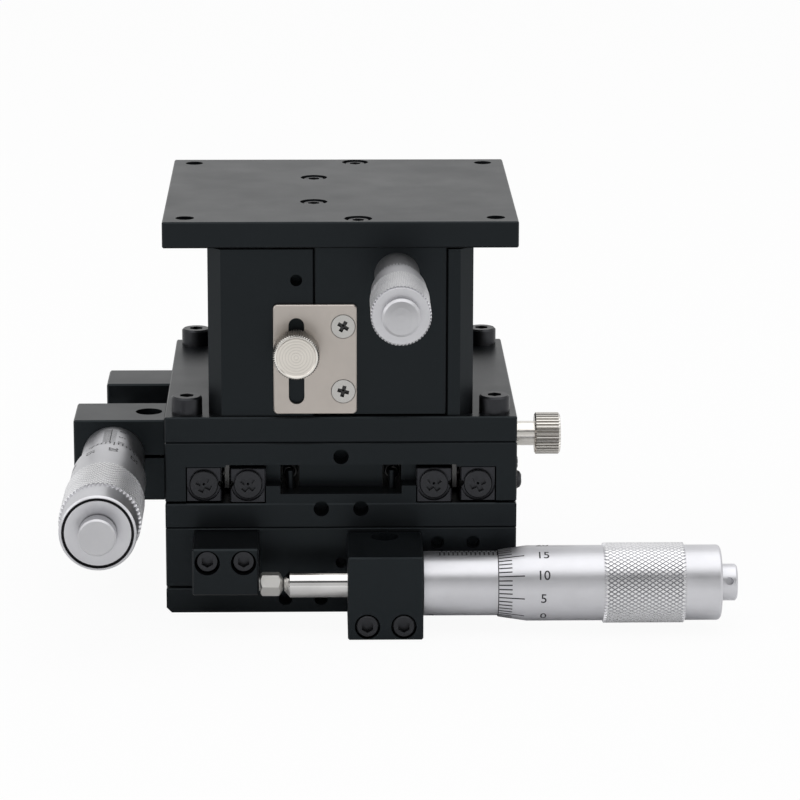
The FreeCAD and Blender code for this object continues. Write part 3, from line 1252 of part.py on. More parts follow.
def z_lock_screw():
    seat = Vector(Z_SLOT_X, COLUMN_FRONT - Z_PLATE_THICKNESS - 0.1, COLUMN_FOOT + Z_THUMB_LEVEL)
    return thumb_screw(Z_THUMB_THREAD, Z_THUMB_THREAD_LENGTH, Z_THUMB_NECK,
                       Z_THUMB_NECK_LENGTH, Z_THUMB_KNOB, Z_THUMB_KNOB_LENGTH, seat, Vector(0, -1, 0))


# ---- top plate ----
def top_screw_seat():
    return TOP_FACE - TOP_SCREW_SINK


def top_screw_points():
    end = COLUMN_DEPTH / 2 - TOP_SCREW_INSET
    return [(TOP_SCREW_X, -end), (TOP_SCREW_X, end), (EAR_SCREW_X, -EAR_SCREW_Y),
            (EAR_SCREW_X, EAR_SCREW_Y)]


def top_plate():
    body = block(-HALF, HALF, -HALF, HALF, TOP_UNDERSIDE, TOP_FACE)
    tools = tapped_through(corner_points(), M5_TAP, TOP_UNDERSIDE, TOP_FACE)
    for x, y in top_screw_points():
        seat = top_screw_seat()
        tools.append(cylinder(TOP_SCREW_BORE, Vector(x, y, TOP_FACE + 1), Vector(x, y, seat)))
        tools.append(cylinder(M3 + SCREW_CLEARANCE, Vector(x, y, seat),
                              Vector(x, y, TOP_UNDERSIDE - 1)))
    return cut(body, tools)


def top_plate_screws():
    return [m3_screw(TOP_SCREW_LENGTH, Vector(x, y, top_screw_seat()), Vector(0, 0, -1))
            for x, y in top_screw_points()]


# ---- writing the nodes ----
def save(name, shapes):
    if not isinstance(shapes, list):
        shapes = [shapes]
    solids = []
    for shape in shapes:
        solids += shape.Solids
    for solid in solids:
        if solid.Volume <= 0 or not solid.isValid():
            raise RuntimeError("bad solid in " + name)
    whole = solids[0] if len(solids) == 1 else Part.makeCompound(solids)
    whole.exportStep("parts/" + name + ".step")
    print(name, len(solids))


def main():
    os.makedirs("parts", exist_ok=True)
    lower = Stage(BRACKET_LIFTS[0], READINGS[0], STOP_CENTRES[0], STOP_TOPS[0])
    upper = Stage(BRACKET_LIFTS[1], READINGS[1], STOP_CENTRES[1], STOP_TOPS[1])
    base_holes = tapped_through(corner_points(), M4_TAP, 0, SLAB_THICKNESS)

    save("x_base", as_x_stage([lower.slab(FOOT_CHAMFER, base_holes)]))
    save("x_base_rails", as_x_stage(lower.inner_rails()))
    save("x_base_cap_screws", as_x_stage(lower.inner_rail_screws() + lower.bracket_screws()))
    save("x_base_end_screws", as_x_stage(lower.inner_end_screws()))
    save("x_bracket", as_x_stage([lower.bracket()]))
    save("x_sleeve", as_x_stage([lower.sleeve()]))
    save("x_lock_plate", as_x_stage([lower.lock_plate()]))
    save("x_lock_plate_screws", as_x_stage(lower.lock_plate_screws()))
    save("x_roller_cages", as_x_stage(lower.cages()))
    save("x_springs", as_x_stage(lower.springs()))
    save("x_spindle", as_x_stage([lower.spindle()]))
    save("x_thimble", as_x_stage([lower.thimble()]))
    save("x_thimble_cap", as_x_stage([lower.thimble_cap()]))
    save("x_lock_screw", as_x_stage([lower.lock_screw()]))

    save("x_table", as_x_stage([lower.table(saddle_thread_holes())]))
    save("x_table_rails", as_x_stage(lower.outer_rails()) + as_y_stage(upper.inner_rails()))
    lower_screws = lower.outer_rail_screws() + lower.stop_screws()
    upper_screws = upper.inner_rail_screws() + upper.bracket_screws()
    save("x_table_cap_screws", as_x_stage(lower_screws) + as_y_stage(upper_screws))
    save("x_table_end_screws",
         as_x_stage(lower.outer_end_screws()) + as_y_stage(upper.inner_end_screws()))
    save("x_stop_block", as_x_stage([lower.stop_block()]))
    save("x_anvil", as_x_stage([lower.anvil()]))
    save("y_saddle", as_y_stage([upper.slab(EDGE_CHAMFER, saddle_screw_seats())]))
    save("saddle_screws", saddle_screws())
    save("y_bracket", as_y_stage([upper.bracket()]))
    save("y_sleeve", as_y_stage([upper.sleeve()]))
    save("y_lock_plate", as_y_stage([upper.lock_plate()]))
    save("y_lock_plate_screws", as_y_stage(upper.lock_plate_screws()))
    save("y_roller_cages", as_y_stage(upper.cages()))
    save("y_springs", as_y_stage(upper.springs()))
    save("y_spindle", as_y_stage([upper.spindle()]))
    save("y_thimble", as_y_stage([upper.thimble()]))
    save("y_thimble_cap", as_y_stage([upper.thimble_cap()]))
    save("y_lock_screw", as_y_stage([upper.lock_screw()]))

    save("y_table", as_y_stage([upper.table(table_thread_holes())]))
    save("y_table_rails", as_y_stage(upper.outer_rails()))
    save("y_table_cap_screws", as_y_stage(upper.outer_rail_screws() + upper.stop_screws()))
    save("y_table_end_screws", as_y_stage(upper.outer_end_screws()))
    save("y_stop_block", as_y_stage([upper.stop_block()]))
    save("y_anvil", as_y_stage([upper.anvil()]))

    save("z_base_plate", z_base_plate())
    save("z_base_screws", z_base_screws())
    save("z_fixed_block", z_fixed_block())
    save("z_side_wall", z_side_wall())
    save("z_fixed_rails", z_fixed_rails())
    save("z_wedge_pin", z_wedge_pin())
    save("z_carriage", z_carriage())
    save("z_carriage_rails", z_carriage_rails())
    save("z_roller_cages", z_cages())
    save("z_wedge", z_wedge())
    save("z_spring", z_spring())
    save("z_spring_screw", z_spring_screw())
    save("z_sleeve", z_sleeve())
    save("z_spindle", z_spindle())
    save("z_thimble", z_thimble())
    save("z_thimble_cap", z_thimble_cap())
    save("z_lock_plate", z_lock_plate())
    save("z_lock_plate_screws", z_lock_plate_screws())
    save("z_lock_screw", z_lock_screw())
    save("top_plate", top_plate())
    save("top_plate_screws", top_plate_screws())


main()
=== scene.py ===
import json
import math

import bmesh
import bpy
from mathutils import Matrix, Vector


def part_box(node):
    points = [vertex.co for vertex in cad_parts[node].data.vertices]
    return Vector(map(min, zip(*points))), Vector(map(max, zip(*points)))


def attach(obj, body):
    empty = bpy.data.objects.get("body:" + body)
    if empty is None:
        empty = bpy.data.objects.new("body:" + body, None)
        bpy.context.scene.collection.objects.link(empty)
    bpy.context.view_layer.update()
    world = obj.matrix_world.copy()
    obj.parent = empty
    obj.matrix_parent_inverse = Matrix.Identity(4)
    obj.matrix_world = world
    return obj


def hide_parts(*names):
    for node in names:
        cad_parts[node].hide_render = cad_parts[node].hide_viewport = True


# Looks for a three-axis crossed-roller stage: black anodised blocks, satin chrome
# micrometers with engraved scales, nickel plated locks. All lengths in metres.

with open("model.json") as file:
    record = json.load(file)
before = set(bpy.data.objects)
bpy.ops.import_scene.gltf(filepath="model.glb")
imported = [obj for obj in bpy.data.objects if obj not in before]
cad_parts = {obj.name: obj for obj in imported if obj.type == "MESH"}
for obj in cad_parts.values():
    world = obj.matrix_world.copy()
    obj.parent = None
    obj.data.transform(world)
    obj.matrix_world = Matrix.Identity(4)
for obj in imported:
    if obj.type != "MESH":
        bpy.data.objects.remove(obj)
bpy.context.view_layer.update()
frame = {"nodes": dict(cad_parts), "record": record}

MM = 0.001
UP = Vector((0, 0, 1))


# ---------------------------------------------------------------- node helpers
def new_material(name):
    material = bpy.data.materials.new(name)
    material.use_nodes = True
    tree = material.node_tree
    shader = tree.nodes["Principled BSDF"]
    return material, tree, shader


def texture_point(tree, scale=(1, 1, 1)):
    """Object coordinates in millimetres times 'scale', so a noise's scale is per millimetre."""
    mapping = tree.nodes.new("ShaderNodeMapping")
    mapping.inputs["Scale"].default_value = [s / MM for s in scale]
    tree.links.new(object_point(tree), mapping.inputs["Vector"])
    return mapping.outputs["Vector"]


def noise(tree, point, scale, detail=3.0):
    node = tree.nodes.new("ShaderNodeTexNoise")
    node.inputs["Scale"].default_value = scale
    node.inputs["Detail"].default_value = detail
    node.inputs["Roughness"].default_value = 0.55
    tree.links.new(point, node.inputs["Vector"])
    return node.outputs["Fac"]


def ramp(tree, value, stops):
    node = tree.nodes.new("ShaderNodeValToRGB")
    ends = node.color_ramp.elements
    while len(ends) < len(stops):
        ends.new(0.5)
    for element, (place, colour) in zip(ends, stops):
        element.position = place
        element.color = (*colour, 1)
    tree.links.new(value, node.inputs["Fac"])
    return node.outputs["Color"]


def spread(tree, value, low, high, from_low=0.3, from_high=0.7):
    """Maps a value to low..high; as a rule the value is a noise, which stays near 0.3..0.7."""
    node = tree.nodes.new("ShaderNodeMapRange")
    node.inputs["From Min"].default_value = from_low
    node.inputs["From Max"].default_value = from_high
    node.inputs["To Min"].default_value = low
    node.inputs["To Max"].default_value = high
    tree.links.new(value, node.inputs["Value"])
    return node.outputs["Result"]


def fill(tree, node, values):
    """Sets the constants on a node's sockets, and links the other values to them."""
    for socket, value in zip(node.inputs, values):
        if isinstance(value, bpy.types.NodeSocket):
            tree.links.new(value, socket)
        else:
            socket.default_value = value


def maths(tree, operation, *values):
    node = tree.nodes.new("ShaderNodeMath")
    node.operation = operation
    fill(tree, node, values)
    return node.outputs["Value"]


def vector_maths(tree, operation, output, *values):
    node = tree.nodes.new("ShaderNodeVectorMath")
    node.operation = operation
    fill(tree, node, values)
    return node.outputs[output]


def object_point(tree):
    return tree.nodes.new("ShaderNodeTexCoord").outputs["Object"]


def bump(tree, shader, height, distance, strength):
    node = tree.nodes.new("ShaderNodeBump")
    node.inputs["Strength"].default_value = strength
    node.inputs["Distance"].default_value = distance
    tree.links.new(height, node.inputs["Height"])
    tree.links.new(node.outputs["Normal"], shader.inputs["Normal"])


# ---------------------------------------------------------------- materials
ANODISED_GRAIN = 0.006 * MM     # depth of the blasted grain
PLATED_GRAIN = 0.002 * MM
BLASTED_GRAIN = 0.02 * MM
OXIDE_GRAIN = 0.01 * MM
LATHE_RING = 0.04 * MM          # depth of the rings on a turned face
BLACK_CLOUD = 0.07              # noise scales, per millimetre
BLACK_GRAIN = 9.0
METAL_CLOUD = 0.12
GLOSS_CLOUD = 0.5
BLACK_SPREAD = 0.18             # share by which the black's tone goes up and down
METAL_SPREAD = 0.05
BLACK_ROUGHNESS = 0.33
BLACK_IOR = 1.35
BLACK_SPECULAR = (0.78, 0.92, 1.0, 1)   # the black's reflections are slightly blue
TURNED_COLOUR = (0.8, 0.76, 0.7)
TURNED_ROUGHNESS = 0.3
TURNED_RING = 0.65 * MM         # spacing of the rings on a turned face
RECESS_SHADE_START = 0.05 * MM  # below a screw head's face
RECESS_SHADE_END = 0.5 * MM


def anodised(name, tone, tint):
    """Bead-blasted black anodised aluminium: fine grain, slightly uneven gloss."""
    material, tree, shader = new_material(name)
    point = texture_point(tree)
    cloud = noise(tree, point, BLACK_CLOUD, 4.0)
    grain = noise(tree, point, BLACK_GRAIN, 2.0)
    dark = [tone * (1 - BLACK_SPREAD) * t for t in tint]
    light = [tone * (1 + BLACK_SPREAD) * t for t in tint]
    colour = ramp(tree, cloud, [(0.3, dark), (0.7, light)])
    tree.links.new(colour, shader.inputs["Base Color"])
    clouded = spread(tree, cloud, BLACK_ROUGHNESS - 0.03, BLACK_ROUGHNESS + 0.03)
    gloss = maths(tree, "ADD", clouded, spread(tree, grain, -0.02, 0.02))
    tree.links.new(gloss, shader.inputs["Roughness"])
    shader.inputs["IOR"].default_value = BLACK_IOR
    shader.inputs["Specular Tint"].default_value = BLACK_SPECULAR
    bump(tree, shader, grain, ANODISED_GRAIN, 0.35)
    return material


def metal(name, colour, roughness, grain_scale=(1, 1, 1), grain_size=6.0,
          depth=PLATED_GRAIN):
    """Machined or plated metal; the grain is drawn out where grain_scale is small."""
    material, tree, shader = new_material(name)
    cloud = noise(tree, texture_point(tree), METAL_CLOUD, 4.0)
    grain = noise(tree, texture_point(tree, grain_scale), grain_size, 3.0)
    dark = [c * (1 - METAL_SPREAD) for c in colour]
    light = [min(1.0, c * (1 + METAL_SPREAD)) for c in colour]
    tree.links.new(ramp(tree, cloud, [(0.3, dark), (0.7, light)]), shader.inputs["Base Color"])
    gloss = maths(tree, "ADD", spread(tree, cloud, roughness * 0.92, roughness * 1.08),
                  spread(tree, grain, -0.04 * roughness, 0.1 * roughness))
    tree.links.new(gloss, shader.inputs["Roughness"])
    shader.inputs["Metallic"].default_value = 1.0
    bump(tree, shader, grain, depth, 0.5)
    return material


def clouded_gloss(tree, shader, roughness):
    cloud = noise(tree, texture_point(tree), GLOSS_CLOUD)
    tree.links.new(spread(tree, cloud, roughness * 0.9, roughness * 1.1),
                   shader.inputs["Roughness"])


def turned_face(name, centre, axis):
    """Nickel plated metal with fine concentric lathe rings about an axis; the rings' low parts
    get a painted shade.
    """
    material, tree, shader = new_material(name)
    across = [0 if abs(a) > 0.5 else 1 for a in axis]
    arm = vector_maths(tree, "SUBTRACT", "Vector", object_point(tree), centre)
    flat = vector_maths(tree, "MULTIPLY", "Vector", arm, across)
    radius = vector_maths(tree, "LENGTH", "Value", flat)
    wave = maths(tree, "SINE", maths(tree, "MULTIPLY", radius, 2 * math.pi / TURNED_RING))
    height = spread(tree, wave, 0.0, 1.0, -1.0, 1.0)
    # painted shade: the low parts of the rings are darker
    dark = [c * 0.86 for c in TURNED_COLOUR]
    tree.links.new(ramp(tree, height, [(0.05, dark), (0.4, TURNED_COLOUR)]),
                   shader.inputs["Base Color"])
    clouded_gloss(tree, shader, TURNED_ROUGHNESS)
    shader.inputs["Metallic"].default_value = 1.0
    bump(tree, shader, height, LATHE_RING, 0.6)
    return material


def recessed_metal(name, colour, painted_recess_shade, roughness, node, axis):
    """Plated screws with painted shade in their recesses, darker below the level of their
    heads.
    """
    material, tree, shader = new_material(name)
    low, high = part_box(node)
    to_object = frame["nodes"][node].matrix_world.inverted()
    inward = (to_object.to_3x3() @ Vector(axis)).normalized()
    face = (to_object @ low).dot(inward)
    level = vector_maths(tree, "DOT_PRODUCT", "Value", object_point(tree), inward)
    # painted shade: the colour darkens with depth below the screw heads' face
    depth = spread(tree, level, 0.0, 1.0, face + RECESS_SHADE_START, face + RECESS_SHADE_END)
    tree.links.new(ramp(tree, depth, [(0.0, colour), (1.0, painted_recess_shade)]),
                   shader.inputs["Base Color"])
    clouded_gloss(tree, shader, roughness)
    shader.inputs["Metallic"].default_value = 1.0
    return material


def ink(name):
    """Black paint in the engraved lines."""
    material, tree, shader = new_material(name)
    speck = noise(tree, texture_point(tree), 5.0)
    tones = [(0.3, (0.008, 0.008, 0.01)), (0.7, (0.02, 0.02, 0.024))]
    tree.links.new(ramp(tree, speck, tones), shader.inputs["Base Color"])
    shader.inputs["Roughness"].default_value = 0.6
    return material


BLACK = anodised("anodised_black", 0.0045, (0.96, 1.04, 1.2))
BLACK_BRACKET = anodised("anodised_bracket", 0.0055, (0.9, 1.06, 1.24))
ALONG_X = (0.06, 1, 1)          # grain drawn out along an axis
ALONG_Y = (1, 0.06, 1)
CHROME_X = metal("satin_chrome_x", (0.72, 0.72, 0.75), 0.35, ALONG_X)
CHROME_Y = metal("satin_chrome_y", (0.66, 0.66, 0.685), 0.35, ALONG_Y)
CHROME_CAP = metal("satin_chrome_caps", (0.58, 0.58, 0.6), 0.35, ALONG_Y)
# painted shade: a darker copy of the satin chrome for the small micrometer's sleeve
CHROME_PAINTED_SHADE = metal("small_sleeve_chrome_painted_shade", (0.45, 0.45, 0.465), 0.35, ALONG_Y)
# painted light on knurls: the flanks are darker copies of the chrome (painted shade), the tops
# a brighter copy (painted highlight)
KNURL_FLANK_SHADE = metal("knurl_flanks_painted_shade", (0.66, 0.66, 0.68), 0.34)
SMALL_KNURL_FLANK = metal("small_knurl_flanks", (0.55, 0.55, 0.57), 0.34)
KNURL_CROWN_HIGHLIGHT = metal("knurl_crowns_painted_highlight", (0.9, 0.9, 0.91), 0.3)
# painted shade: near-black metal for the end ring's groove and the shadow at the thimble's edge
RING_SHADE = metal("ring_and_edge_painted_shade", (0.03, 0.03, 0.032), 0.5)
POLISHED = metal("ground_spindle", (0.78, 0.77, 0.76), 0.08, (0.1, 1, 1), 9.0)
BLASTED = metal("blasted_steel", (0.66, 0.65, 0.63), 0.45, grain_size=4.0,
                depth=BLASTED_GRAIN)
NICKEL_SHEET = metal("nickel_sheet", (0.55, 0.505, 0.465), 0.34, (1, 1, 0.08), 5.0)
NICKEL_BRIGHT = metal("nickel_knob", (0.9, 0.87, 0.82), 0.22)
# painted shade: a darker copy of the knob's nickel for the grooves between its teeth
NICKEL_GROOVE_SHADE = metal("nickel_knob_groove_shade", (0.45, 0.43, 0.4), 0.3)
# painted shade: the ground steel of the roller cages, wedge and pin is darkened nearly to black
STEEL = metal("ground_steel_painted_shade", (0.14, 0.14, 0.138), 0.28, (0.05, 1, 1))
# painted shade: the rails' steel is near black, as the rails lie in shade inside the stages
RAIL_STEEL_PAINTED_SHADE = metal("rail_steel_painted_shade", (0.042, 0.043, 0.048), 0.3, (0.05, 1, 1))
# painted shade in the cross recesses of the lock plate's screws
SCREW_STEEL = recessed_metal("bright_screw_painted_recess_shade", (0.55, 0.54, 0.52), (0.05, 0.05, 0.05), 0.25,
                             "z_lock_plate_screws", (0, 1, 0))
OXIDE = metal("black_oxide", (0.045, 0.046, 0.05), 0.34, grain_size=5.0, depth=OXIDE_GRAIN)
# painted shade: the springs' wire is near black, as the springs lie in shade inside the stages
SPRING_STEEL = metal("spring_wire_painted_shade", (0.05, 0.05, 0.05), 0.3)
INK = ink("engraved_ink")


def finish_nodes(material, *nodes):
    for node in nodes:
        for place in frame["nodes"][node].material_slots:
            place.material = material


finish_nodes(BLACK, "x_base", "x_table", "y_saddle", "y_table", "z_base_plate", "z_fixed_block",
             "z_side_wall", "z_carriage", "top_plate", "x_stop_block", "y_stop_block")
finish_nodes(BLACK_BRACKET, "x_bracket", "y_bracket")
finish_nodes(RAIL_STEEL_PAINTED_SHADE, "x_base_rails", "x_table_rails", "y_table_rails", "z_fixed_rails",
             "z_carriage_rails")
finish_nodes(STEEL, "x_roller_cages", "y_roller_cages", "z_roller_cages", "z_wedge",
             "z_wedge_pin")
finish_nodes(OXIDE, "x_base_cap_screws", "x_base_end_screws", "x_table_cap_screws",
             "x_table_end_screws", "saddle_screws", "y_table_cap_screws", "y_table_end_screws",
             "z_base_screws", "top_plate_screws", "x_lock_plate_screws", "y_lock_plate_screws",
             "z_spring_screw")
finish_nodes(SPRING_STEEL, "x_springs", "y_springs", "z_spring")
finish_nodes(CHROME_X, "x_sleeve", "x_thimble", "x_thimble_cap")
finish_nodes(CHROME_Y, "y_sleeve", "y_thimble", "z_thimble")
finish_nodes(CHROME_CAP, "y_thimble_cap", "z_thimble_cap")
finish_nodes(CHROME_PAINTED_SHADE, "z_sleeve")
finish_nodes(POLISHED, "x_spindle", "y_spindle", "z_spindle")
finish_nodes(BLASTED, "x_anvil", "y_anvil")
finish_nodes(NICKEL_SHEET, "x_lock_plate", "y_lock_plate", "z_lock_plate")
finish_nodes(SCREW_STEEL, "z_lock_plate_screws")
finish_nodes(NICKEL_BRIGHT, "x_lock_screw", "y_lock_screw", "z_lock_screw")


# ---------------------------------------------------------------- mesh helpers
RECORD_BODIES = frame["record"]["behaviour"]["bodies"]
MERGE_DISTANCE = 0.0002 * MM
DEGENERATE_EDGE = 0.0001 * MM
CREASE_ANGLE = math.radians(25)     # faces that meet more sharply stay sharp


def body_with(node):
    return next(body for body, nodes in RECORD_BODIES.items() if node in nodes)


class Spot:
    """Places round a level axis: distance along it, radius, and degrees from 'side' upward."""
    def __init__(self, origin, along, side):
        self.origin = Vector(origin)
        self.along = Vector(along)
        self.side = Vector(side)

    def at(self, along, radius, degrees):
        turn = math.radians(degrees)
        out = self.side * math.cos(turn) + UP * math.sin(turn)
        return self.origin + self.along * along + out * radius

    def outward(self, point):
        arm = point - self.origin
        return arm - self.along * arm.dot(self.along)


def spot_on(node, along, side):
    """Spot at the end of a turned node from which 'along' runs, and the node's length."""
    low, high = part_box(node)
    along = Vector(along)
    length = abs((high - low).dot(along))
    return Spot((low + high) / 2 - along * length / 2, along, side), length


def add_piece(name, part, material, body, spot=None):
    """Links a mesh that rides on a body. With a spot, its faces are turned outward."""
    vertices, faces = part
    mesh = bpy.data.meshes.new(name)
    mesh.from_pydata([tuple(v) for v in vertices], [], faces)
    work = bmesh.new()
    work.from_mesh(mesh)
    bmesh.ops.remove_doubles(work, verts=work.verts, dist=MERGE_DISTANCE)
    bmesh.ops.dissolve_degenerate(work, edges=work.edges, dist=DEGENERATE_EDGE)
    if spot is None:
        bmesh.ops.recalc_face_normals(work, faces=work.faces)
    else:
        for face in work.faces:
            face.normal_update()
            if face.normal.dot(spot.outward(face.calc_center_median())) < 0:
                face.normal_flip()
    work.to_mesh(mesh)
    work.free()
    mesh.materials.append(material)
    for polygon in mesh.polygons:
        polygon.use_smooth = True
    mesh.set_sharp_from_angle(angle=CREASE_ANGLE)
    piece = bpy.data.objects.new(name, mesh)
    bpy.context.scene.collection.objects.link(piece)
    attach(piece, body)
    return piece


def join_parts(parts):
    vertices = []
    faces = []
    for part_vertices, part_faces in parts:
        shift = len(vertices)
        vertices += part_vertices
        faces += [tuple(i + shift for i in face) for face in part_faces]
    return vertices, faces


def revolve(spot, profile, steps, gap=None):
    """A closed (along, radius) outline turned about the axis; side 'gap' is left open."""
    vertices = []
    faces = []
    count = len(profile)
    for step in range(steps):
        vertices += [spot.at(s, r, 360 * step / steps) for s, r in profile]
    for step in range(steps):
        here = step * count
        there = (step + 1) % steps * count
        for i in range(count):
            if i != gap:
                j = (i + 1) % count
                faces.append((here + i, here + j, there + j, there + i))
    return vertices, faces


KNURL_TOP_SHARE = 0.7           # width of a pyramid's flat top, of the pyramid's width
KNURL_END_SLOPE = 3.0           # rise of the outermost pyramids per length along the axis


def diamond_knurl(spot, start, end, valley, crest, root, around, pitch):
    """Blunt pyramids in a diamond grid; at both ends they fall to the radius 'root'."""
    rows = 2 * round((end - start) / pitch)
    half = (end - start) / rows
    step = 180 / around

    def radius(along, full):
        return min(full, root + KNURL_END_SLOPE * min(along - start, end - along))

    vertices = []
    faces = []
    for row in range(rows + 1):
        along = start + row * half
        back = 0 if row == 0 else -1
        front = 0 if row == rows else 1
        corners = [(-1, 0), (0, back), (1, 0), (0, front)]
        at_end = row in (0, rows)
        for column in range(row % 2, 2 * around, 2):
            base = len(vertices)
            for across, forward in corners:
                place = along + forward * half
                vertices.append(spot.at(place, radius(place, valley), (column + across) * step))
            if at_end:
                faces.append((base, base + 1, base + 3))
                faces.append((base + 1, base + 2, base + 3))
                continue
            for across, forward in corners:
                place = along + forward * half * KNURL_TOP_SHARE
                degrees = (column + across * KNURL_TOP_SHARE) * step
                vertices.append(spot.at(place, radius(place, crest), degrees))
            for i in range(4):
                j = (i + 1) % 4
                faces.append((base + i, base + j, base + 4 + j, base + 4 + i))
            faces.append((base + 4, base + 5, base + 6, base + 7))
    return vertices, faces


def shade_faces(piece, spot, material, start, end, low, high):
    """Gives another material to the faces whose middles lie in a band round the axis."""
    piece.data.materials.append(material)
    index = len(piece.data.materials) - 1
    for polygon in piece.data.polygons:
        along = (polygon.center - spot.origin).dot(spot.along)
        radius = spot.outward(polygon.center).length
        if start < along < end and low < radius < high:
            polygon.material_index = index


INK_LIFT = 0.01 * MM            # of painted lines above the metal
CURVED_LINE_STEPS = 6
LETTER_SIZE = 1.42              # font size per height of a figure
LETTER_WEIGHT = 0.01            # outward offset per height of a figure
LETTER_SLICES = 8


def line_along(spot, start, end, radius_start, radius_end, degrees, width):
    """A thin painted line along the axis, on a cone or a cylinder."""
    turn = math.degrees(width / 2 / radius_end)
    corners = [(start, radius_start, -turn), (end, radius_end, -turn),
               (end, radius_end, turn), (start, radius_start, turn)]
    return [spot.at(s, r + INK_LIFT, degrees + t) for s, r, t in corners], [(0, 1, 2, 3)]


def line_around(spot, along, radius, first, last, width):
    """A thin painted line round the axis, between two angles."""
    steps = CURVED_LINE_STEPS
    vertices = []
    for step in range(steps + 1):
        degrees = first + (last - first) * step / steps
        vertices.append(spot.at(along - width / 2, radius + INK_LIFT, degrees))
        vertices.append(spot.at(along + width / 2, radius + INK_LIFT, degrees))
    return vertices, [(2 * i, 2 * i + 1, 2 * i + 3, 2 * i + 2) for i in range(steps)]


def flat_number(text, height):
    """A number as a flat mesh, sliced across so that it can be wrapped on a cylinder."""
    curve = bpy.data.curves.new("number", "FONT")
    curve.body = text
    curve.size = height * LETTER_SIZE
    curve.align_x = "CENTER"
    curve.align_y = "CENTER"
    curve.offset = height * LETTER_WEIGHT
    curve.resolution_u = 4
    holder = bpy.data.objects.new("number", curve)
    bpy.context.scene.collection.objects.link(holder)
    graph = bpy.context.evaluated_depsgraph_get()
    mesh = bpy.data.meshes.new_from_object(holder.evaluated_get(graph))
    work = bmesh.new()
    work.from_mesh(mesh)
    for i in range(LETTER_SLICES + 1):
        level = (i / LETTER_SLICES - 0.5) * height
        everything = work.verts[:] + work.edges[:] + work.faces[:]
        bmesh.ops.bisect_plane(work, geom=everything, plane_co=(0, level, 0),
                               plane_no=(0, 1, 0))
    work.verts.index_update()
    vertices = [tuple(v.co) for v in work.verts]
    faces = [tuple(v.index for v in face.verts) for face in work.faces]
    work.free()
    bpy.data.objects.remove(holder)
    bpy.data.curves.remove(curve)
    bpy.data.meshes.remove(mesh)
    return vertices, faces


def wrapped_number(spot, text, height, along, radius, degrees):
    """A number on a cylinder that reads along the axis, its top towards larger angles."""
    vertices, faces = flat_number(text, height)
    return [spot.at(along + x, radius + INK_LIFT, degrees + math.degrees(y / radius))
            for x, y, _ in vertices], faces


# ---------------------------------------------------------------- the two large micrometers
# Places on a thimble are measured from its thin edge. The radii of the edge, the thimble, its
# bore and the sleeve are those of the CAD.
TOP = 90.0                      # degrees from a spot's side; the datum line lies there
DIVISIONS = 50
LINE_START = 0.2 * MM           # of a thimble's divisions
THIMBLE_EDGE = 7.55 * MM
EDGE_BREAK = 0.18 * MM
THIMBLE_RADIUS = 8.5 * MM
THIMBLE_BORE = 7.35 * MM
BEVEL = 6.6 * MM
TAIL_BORE = 2.05 * MM
END_WALL = 4.0 * MM
# The rounded end: how far a point lies behind the end face, and inside the thimble's radius.
END_ROUNDING = ((0.75 * MM, 0.0), (0.4 * MM, 0.1 * MM), (0.12 * MM, 0.36 * MM))
END_CHAMFER = 0.1 * MM          # beside the ring
FACE_STEP = 0.1 * MM            # the face inside the ring lies this much lower
RING_OUTER = 7.85 * MM          # engraved ring in the end face
RING_INNER = 7.25 * MM
RING_DEPTH = 0.8 * MM
RING_TAPER = 0.03 * MM
RING_BREAK = 0.06 * MM
DISH_RADIUS = 4.4 * MM
DISH_DEPTH = 0.5 * MM
SHADE_MARGIN = 0.01 * MM        # round the bands that get another material
KNURL_START = 23.7 * MM
KNURL_END = 42.2 * MM
KNURL_CREST = 9.04 * MM
KNURL_VALLEY = 8.78 * MM
KNURL_AROUND = 57
KNURL_PITCH = 1.54 * MM
KNURL_ROOT_MARGIN = 0.05 * MM   # flanks start this far above the plain band
KNURL_TOP_MARGIN = 0.04 * MM    # tops lie this close to the crest
MAJOR_LINE_END = 5.9 * MM
MINOR_LINE_END = 3.15 * MM
THIMBLE_LINE = 0.28 * MM
NUMBER_PLACE = 10.15 * MM
NUMBER_HEIGHT = 2.15 * MM
DATUM_READING = 18.75           # the division that stands at the datum line
SLEEVE_RADIUS = 7.25 * MM       # of the sleeve outside its bracket
SCALE_START = 3.85 * MM         # from the bracket's face
SCALE_MARKS = 25
DATUM_BEFORE_SCALE = 0.9 * MM
DATUM_END_MARGIN = 0.1 * MM     # from the sleeve's end
DATUM_LINE = 0.2 * MM
WHOLE_LINE = 0.36 * MM
HALF_LINE = 0.26 * MM
WHOLE_LINE_FROM = 76.0          # degrees
HALF_LINE_TO = 100.0
SLEEVE_NUMBER_HEIGHT = 1.6 * MM
SLEEVE_NUMBER_ANGLE = 110.0
KEY_HOLE_RADIUS = 0.6 * MM
KEY_HOLE_PLACE = 1.9 * MM
KEY_HOLE_ANGLE = -63.0
KEY_HOLE_STEPS = 20


def shade_knurl(piece, spot, flank, start, end, root, crest):
    """Painted light on the pyramids of a knurl: darker, slightly rougher flanks as painted
    shade, brighter tops as a painted highlight.
    """
    shade_faces(piece, spot, flank, start, end, root + KNURL_ROOT_MARGIN,
                crest - KNURL_TOP_MARGIN)
    shade_faces(piece, spot, KNURL_CROWN_HIGHLIGHT, start, end, crest - KNURL_TOP_MARGIN,
                crest + KNURL_TOP_MARGIN)


